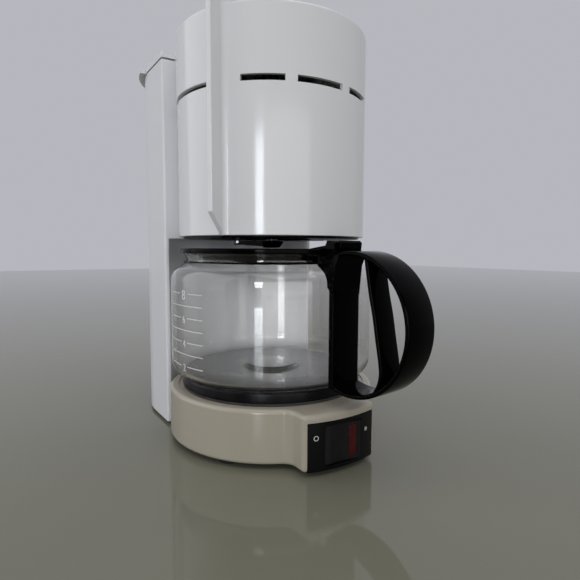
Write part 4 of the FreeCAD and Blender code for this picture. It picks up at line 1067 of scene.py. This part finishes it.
# ---- black fittings of the jug ----
def neck_clamp():
    low, high = BAND_LO.z / MM + 0.35, BAND_HI.z / MM - 0.35
    ring = lathe("neck_clamp", rounded([(BAND_R - 1.0, low, 0.2), (BAND_R, low, 0.4),
                                        (BAND_R, high, 0.4), (BAND_R - 1.0, high, 0.2)], 3))
    dress(smooth(ring, 60.0), BLACK, "jug", "black_gloss", "neck_band")


def loop_path(radius, steps=60):
    """Middle line of the handle's round ribbon, in (rho, z)."""
    path = []
    for i in range(steps + 1):
        a = math.radians(-LOOP_END + 2 * LOOP_END * i / steps)
        path.append((LOOP_RHO + radius * math.cos(a), LOOP_Z + radius * math.sin(a)))
    return path


def between(a, b, c, d, t):
    """Catmull-Rom value at t on the way from b to c."""
    return 0.5 * (2 * b + (c - a) * t + (2 * a - 5 * b + 4 * c - d) * t * t
                  + (3 * b - a - 3 * c + d) * t ** 3)


def line_through(points, steps=32):
    """Smooth line through a few points."""
    line = []
    share = steps // (len(points) - 1)
    pts = [points[0], *points, points[-1]]
    for four in zip(pts, pts[1:], pts[2:], pts[3:]):
        for k in range(share):
            line.append(tuple(between(*values, k / share) for values in zip(*four)))
    line.append(points[-1])
    return line


def dress_black(piece, body, *nodes):
    """Black piece of the jug, turned to where the jug's handle points."""
    dress(turn(piece, JUG_TURN), BLACK, body, "black_gloss", *nodes)


def jug_handle():
    loop = ribbon("handle_loop", loop_path(LOOP_R - LOOP_T / 2), HANDLE_W, LOOP_T, 1.2)
    dress_black(smooth(loop), "jug", "carafe_handle")
    middle = [(r + INNER_GRIP_T / 2, z) for r, z in INNER_GRIP]
    grip = ribbon("handle_inner_grip", line_through(middle), INNER_GRIP_W, INNER_GRIP_T, 1.1)
    dress_black(smooth(grip), "jug")
    inner, outer = STRAP_RHO
    low, high = STRAP_Z
    steps = 24
    line = [((inner + outer) / 2, low + (high - low) * k / steps) for k in range(steps + 1)]
    strap = ribbon("handle_strap", line, HANDLE_W, outer - inner, 1.4)
    dress_black(smooth(strap), "jug")
    half = HANDLE_W / 2
    rho = JUG_HINGE_RHO
    bracket = extruded("handle_bracket", rounded([
        (63.2, 132.6, 0.0), (63.2, 121.0, 0.0), (66.0, 118.0, 0.0), (outer - 0.4, 106.0, 0.0),
        (outer + 1.5, 124.0, 1.0), (rho + 8.0, 131.2, 0.8), (rho, 131.3, 0.0), (rho - 5.0, 129.8, 1.0),
        (66.5, 130.0, 0.0)], 3), -half, half, side)
    wall, above = GLASS_R + JUG_ROOM, GLASS_TOP + 4.0
    room = rounded([(0.0, 100.0, 0.0), (wall, 100.0, 0.0), (wall, SHOULDER_Z, 10.5),
                    (NECK_R + 0.3, NECK_Z, 2.4), (65.2, above, 0.0), (0.0, above, 0.0)], 6)
    cut(bracket, lathe("jug_room", room))
    dress_black(soften(bracket, 0.5), "jug")
    handle_ear("handle_ear_1", -half, -KNUCKLE_HALF - EAR_GAP)
    handle_ear("handle_ear_2", KNUCKLE_HALF + EAR_GAP, half)


def hinge_round(steps=32):
    """Circle about the jug lid's pin, seen from the side."""
    turns = [2 * math.pi * i / steps for i in range(steps)]
    return [(JUG_HINGE_RHO + KNUCKLE_R * math.cos(a), JUG_HINGE_Z + KNUCKLE_R * math.sin(a))
            for a in turns]


def handle_ear(name, low, high):
    """Eye of the handle that holds one end of the lid's pin."""
    ear = extruded(name, hinge_round(), low, high, side)
    foot = extruded(name + "_foot", block(JUG_HINGE_RHO - KNUCKLE_R, JUG_HINGE_RHO + KNUCKLE_R,
                                          128.5, JUG_HINGE_Z), low, high, side)
    add(ear, foot)
    dress_black(soften(ear, 0.4), "jug")


def jug_lid():
    top, edge = JUG_LID_TOP, JUG_LID_R
    cover = lathe("jug_lid_cover", rounded([
        (0.0, 128.6, 0.0), (44.0, 130.0, 2.0), (47.0, top - 1.2, 1.0), (edge - 0.6, top, 0.6),
        (edge, top - 0.8, 0.6), (edge, JUG_LID_RIM_Z, 0.3), (edge - 0.8, JUG_LID_RIM_Z, 0.3),
        (edge - 0.8, LIP_COVER_Z, 0.3), (61.8, LIP_COVER_Z, 0.3), (61.4, 131.4, 0.3),
        (59.4, 130.4, 0.3), (50.6, 130.4, 0.3), (50.6, 123.4, 0.3), (48.6, 123.4, 0.3),
        (48.6, 128.2, 0.3), (44.0, 127.0, 0.3), (0.0, 126.6, 0.0)]))
    drain = lathe("drain_skirt", block(6.5, 9.0, 124.6, 127.4), step=6.0)
    add(cover, drain)
    cut(cover, post("drain_hole", 4.0, 120.0, 132.0, 8.0))
    dress_black(smooth(cover), "jug_lid", "carafe_lid")
    half = KNUCKLE_HALF
    rho = JUG_HINGE_RHO
    low, high = TAB_Z
    arm = extruded("jug_lid_arm", rounded([
        (50.0, top - 1.4, 0.0), (60.0, top - 2.0, 0.0), (64.0, low, 0.0), (rho, low, 0.0),
        (rho, high - 1.0, 0.0), (70.0, high - 1.0, 0.8), (68.8, 137.2, 0.6), (62.0, 136.4, 2.0),
        (52.0, top, 1.0)], 4), -half, half, side)
    dress_black(soften(arm, 0.5), "jug_lid")
    tab = extruded("jug_lid_tab", rounded([
        (rho + 0.6, low + 0.4, 0.0), (TAB_FRONT - 0.6, low, 0.9), (TAB_FRONT, high - 0.5, 1.1),
        (rho + 0.6, high - 0.9, 0.0)], 4), -half, half, side)
    dress_black(soften(tab, 0.6), "jug_lid")
    knuckle = extruded("jug_lid_knuckle", hinge_round(), -half, half, side)
    dress_black(soften(knuckle, 0.4), "jug_lid")
    for i, at in enumerate((68.6, rho - 1.5, 79.4)):
        rib = extruded("jug_lid_rib_%d" % (i + 1), rounded([
            (at - 0.5, high - 1.6, 0.0), (at + 0.5, high - 1.6, 0.0), (at + 0.5, high, 0.4),
            (at - 0.5, high, 0.4)], 2), -half + 0.4, half - 0.4, side)
        dress_black(smooth(rib, 40.0), "jug_lid")


# ---- printed marks on the console ----
def console_mark(name, x, z, inner, outer, steps=40):
    """Flat ring or dot on the curved console front."""
    verts = []
    for lift in (INK_LIFT, 0.1):
        for radius in (inner, outer):
            for i in range(steps):
                a = 2 * math.pi * i / steps
                angle = math.degrees((x + radius * math.cos(a)) / CONSOLE_R)
                verts.append(polar(CONSOLE_R + lift, angle, z + radius * math.sin(a)))
    faces = []
    for i in range(steps):
        j = (i + 1) % steps
        in0, out0, in1, out1 = 0, steps, 2 * steps, 3 * steps
        faces += [(in0 + i, in0 + j, out0 + j, out0 + i), (in1 + i, out1 + i, out1 + j, in1 + j),
                  (in0 + i, in1 + i, in1 + j, in0 + j), (out0 + i, out0 + j, out1 + j, out1 + i)]
    dress(new_piece(name, verts, faces), INK, "chassis")


OFF_MARK = (-20.0, 23.6)
ON_MARK = (18.4, 22.1)


def console_marks():
    console_mark("off_ring", *OFF_MARK, 1.2, 1.55)
    console_mark("on_ring", *ON_MARK, 0.9, 1.2)
    console_mark("on_dot", *ON_MARK, 0.02, 0.5)


# ---- parts that keep their CAD shape ----
NODE_LOOKS = [
    (BLACK_SATIN, ["base_cover", "column_cover", "cord_inlet_bush", "switch_body", "filter_basket",
                   "lever_brackets"]),
    (GREY_INNER, ["shower_head", "tank_strainer", "check_valve"]),
    (SEAL_RUBBER, ["plate_seal", "riser_grommet", "valve_seal"]),
    (SILICONE, ["inlet_hose", "riser_tube"]),
    (ALUMINIUM, ["flow_heater"]),
    (STEEL, ["heating_element", "heater_strap", "strap_nut", "cover_screws", "rocker_axle", "lid_pins",
             "door_hinge_pin", "lever_pin", "drip_spring", "jug_lid_pin", "valve_ball", "thermostat"]),
    (LAMP, ["indicator_lamp"]),
    (CERAMIC, ["terminal_block", "thermal_fuses"]),
    (SLEEVING, ["internal_leads"]),
]


def paint_nodes():
    for material, names in NODE_LOOKS:
        for name in names:
            paint(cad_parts[name], material)


# ---- stage ----
FLOOR_HALF = 3.0
BRIGHT_SIDE = (0.50, 0.85, 0.22)
ROOM_FADE = [(0.36, (0.115, 0.115, 0.12)), (0.66, (0.470, 0.475, 0.515))]
LIGHT_AIM = 150.0
# name, azimuth, reach, height, size in metres, power, colour
LIGHTS = [
    ("window", -44.0, 1700.0, 330.0, (0.26, 0.52), 6.0, (0.90, 0.95, 1.0)),
    ("left_softbox", -112.0, 1900.0, 800.0, (2.6, 2.4), 18.5, (0.97, 0.98, 1.0)),
    ("top_softbox", 10.0, 500.0, 1500.0, (1.6, 1.6), 9.0, (1.0, 0.99, 0.97)),
    ("front_fill", -14.0, 1900.0, 300.0, (2.0, 0.9), 10.0, (1.0, 0.99, 0.98)),
]


def area_light(name, azimuth, reach, height, size, power, colour):
    data = bpy.data.lights.new(name, "AREA")
    data.shape = "RECTANGLE"
    data.size, data.size_y = size
    data.energy = power
    data.color = colour
    lamp = bpy.data.objects.new(name, data)
    lamp.location = place(*polar(reach, azimuth, height))
    away = lamp.location - place(0.0, 0.0, LIGHT_AIM)
    lamp.rotation_euler = away.to_track_quat("Z", "Y").to_euler()
    scene.collection.objects.link(lamp)


def make_floor():
    mesh = bpy.data.meshes.new("floor")
    corners = block(-FLOOR_HALF, FLOOR_HALF, -FLOOR_HALF, FLOOR_HALF)
    mesh.from_pydata([(x, y, 0) for x, y in corners], [], [(0, 1, 2, 3)])
    mesh.materials.append(floor_material("pale_floor"))
    floor = bpy.data.objects.new("floor", mesh)
    scene.collection.objects.link(floor)


def make_room():
    """Plain surroundings that fade from a dim side to a bright one."""
    world = bpy.data.worlds.new("soft_room")
    world.use_nodes = True
    nodes, links = world.node_tree.nodes, world.node_tree.links
    towards = nodes.new("ShaderNodeVectorMath")
    towards.operation = "DOT_PRODUCT"
    towards.inputs[1].default_value = BRIGHT_SIDE
    links.new(nodes.new("ShaderNodeTexCoord").outputs["Generated"], towards.inputs[0])
    fade = nodes.new("ShaderNodeValToRGB")
    for element, (position, colour) in zip(fade.color_ramp.elements, ROOM_FADE):
        element.position = position
        element.color = (*colour, 1.0)
    shift = nodes.new("ShaderNodeMapRange")
    shift.inputs["From Min"].default_value = -1.0
    links.new(towards.outputs["Value"], shift.inputs["Value"])
    links.new(shift.outputs["Result"], fade.inputs["Fac"])
    links.new(fade.outputs["Color"], nodes["Background"].inputs["Color"])
    scene.world = world
    scene.view_settings.view_transform = "Standard"


make_camera()
filter_door()
door_fin()
door_fin_blend()
door_barrel()
hinge_lug("hinge_lug_low", *LUG_LOW, False)
hinge_lug("hinge_lug_high", *LUG_HIGH, True)
rear_shell()
drum_cap()
carrier_floor()
drip_nose()
water_column()
tank_lid()
base_shell()
console()
rocker()
console_marks()
warming_plate()
feet()
jug_glass()
cup_marks()
neck_clamp()
jug_handle()
jug_lid()
paint_nodes()
make_floor()
make_room()
for light in LIGHTS:
    area_light(*light)
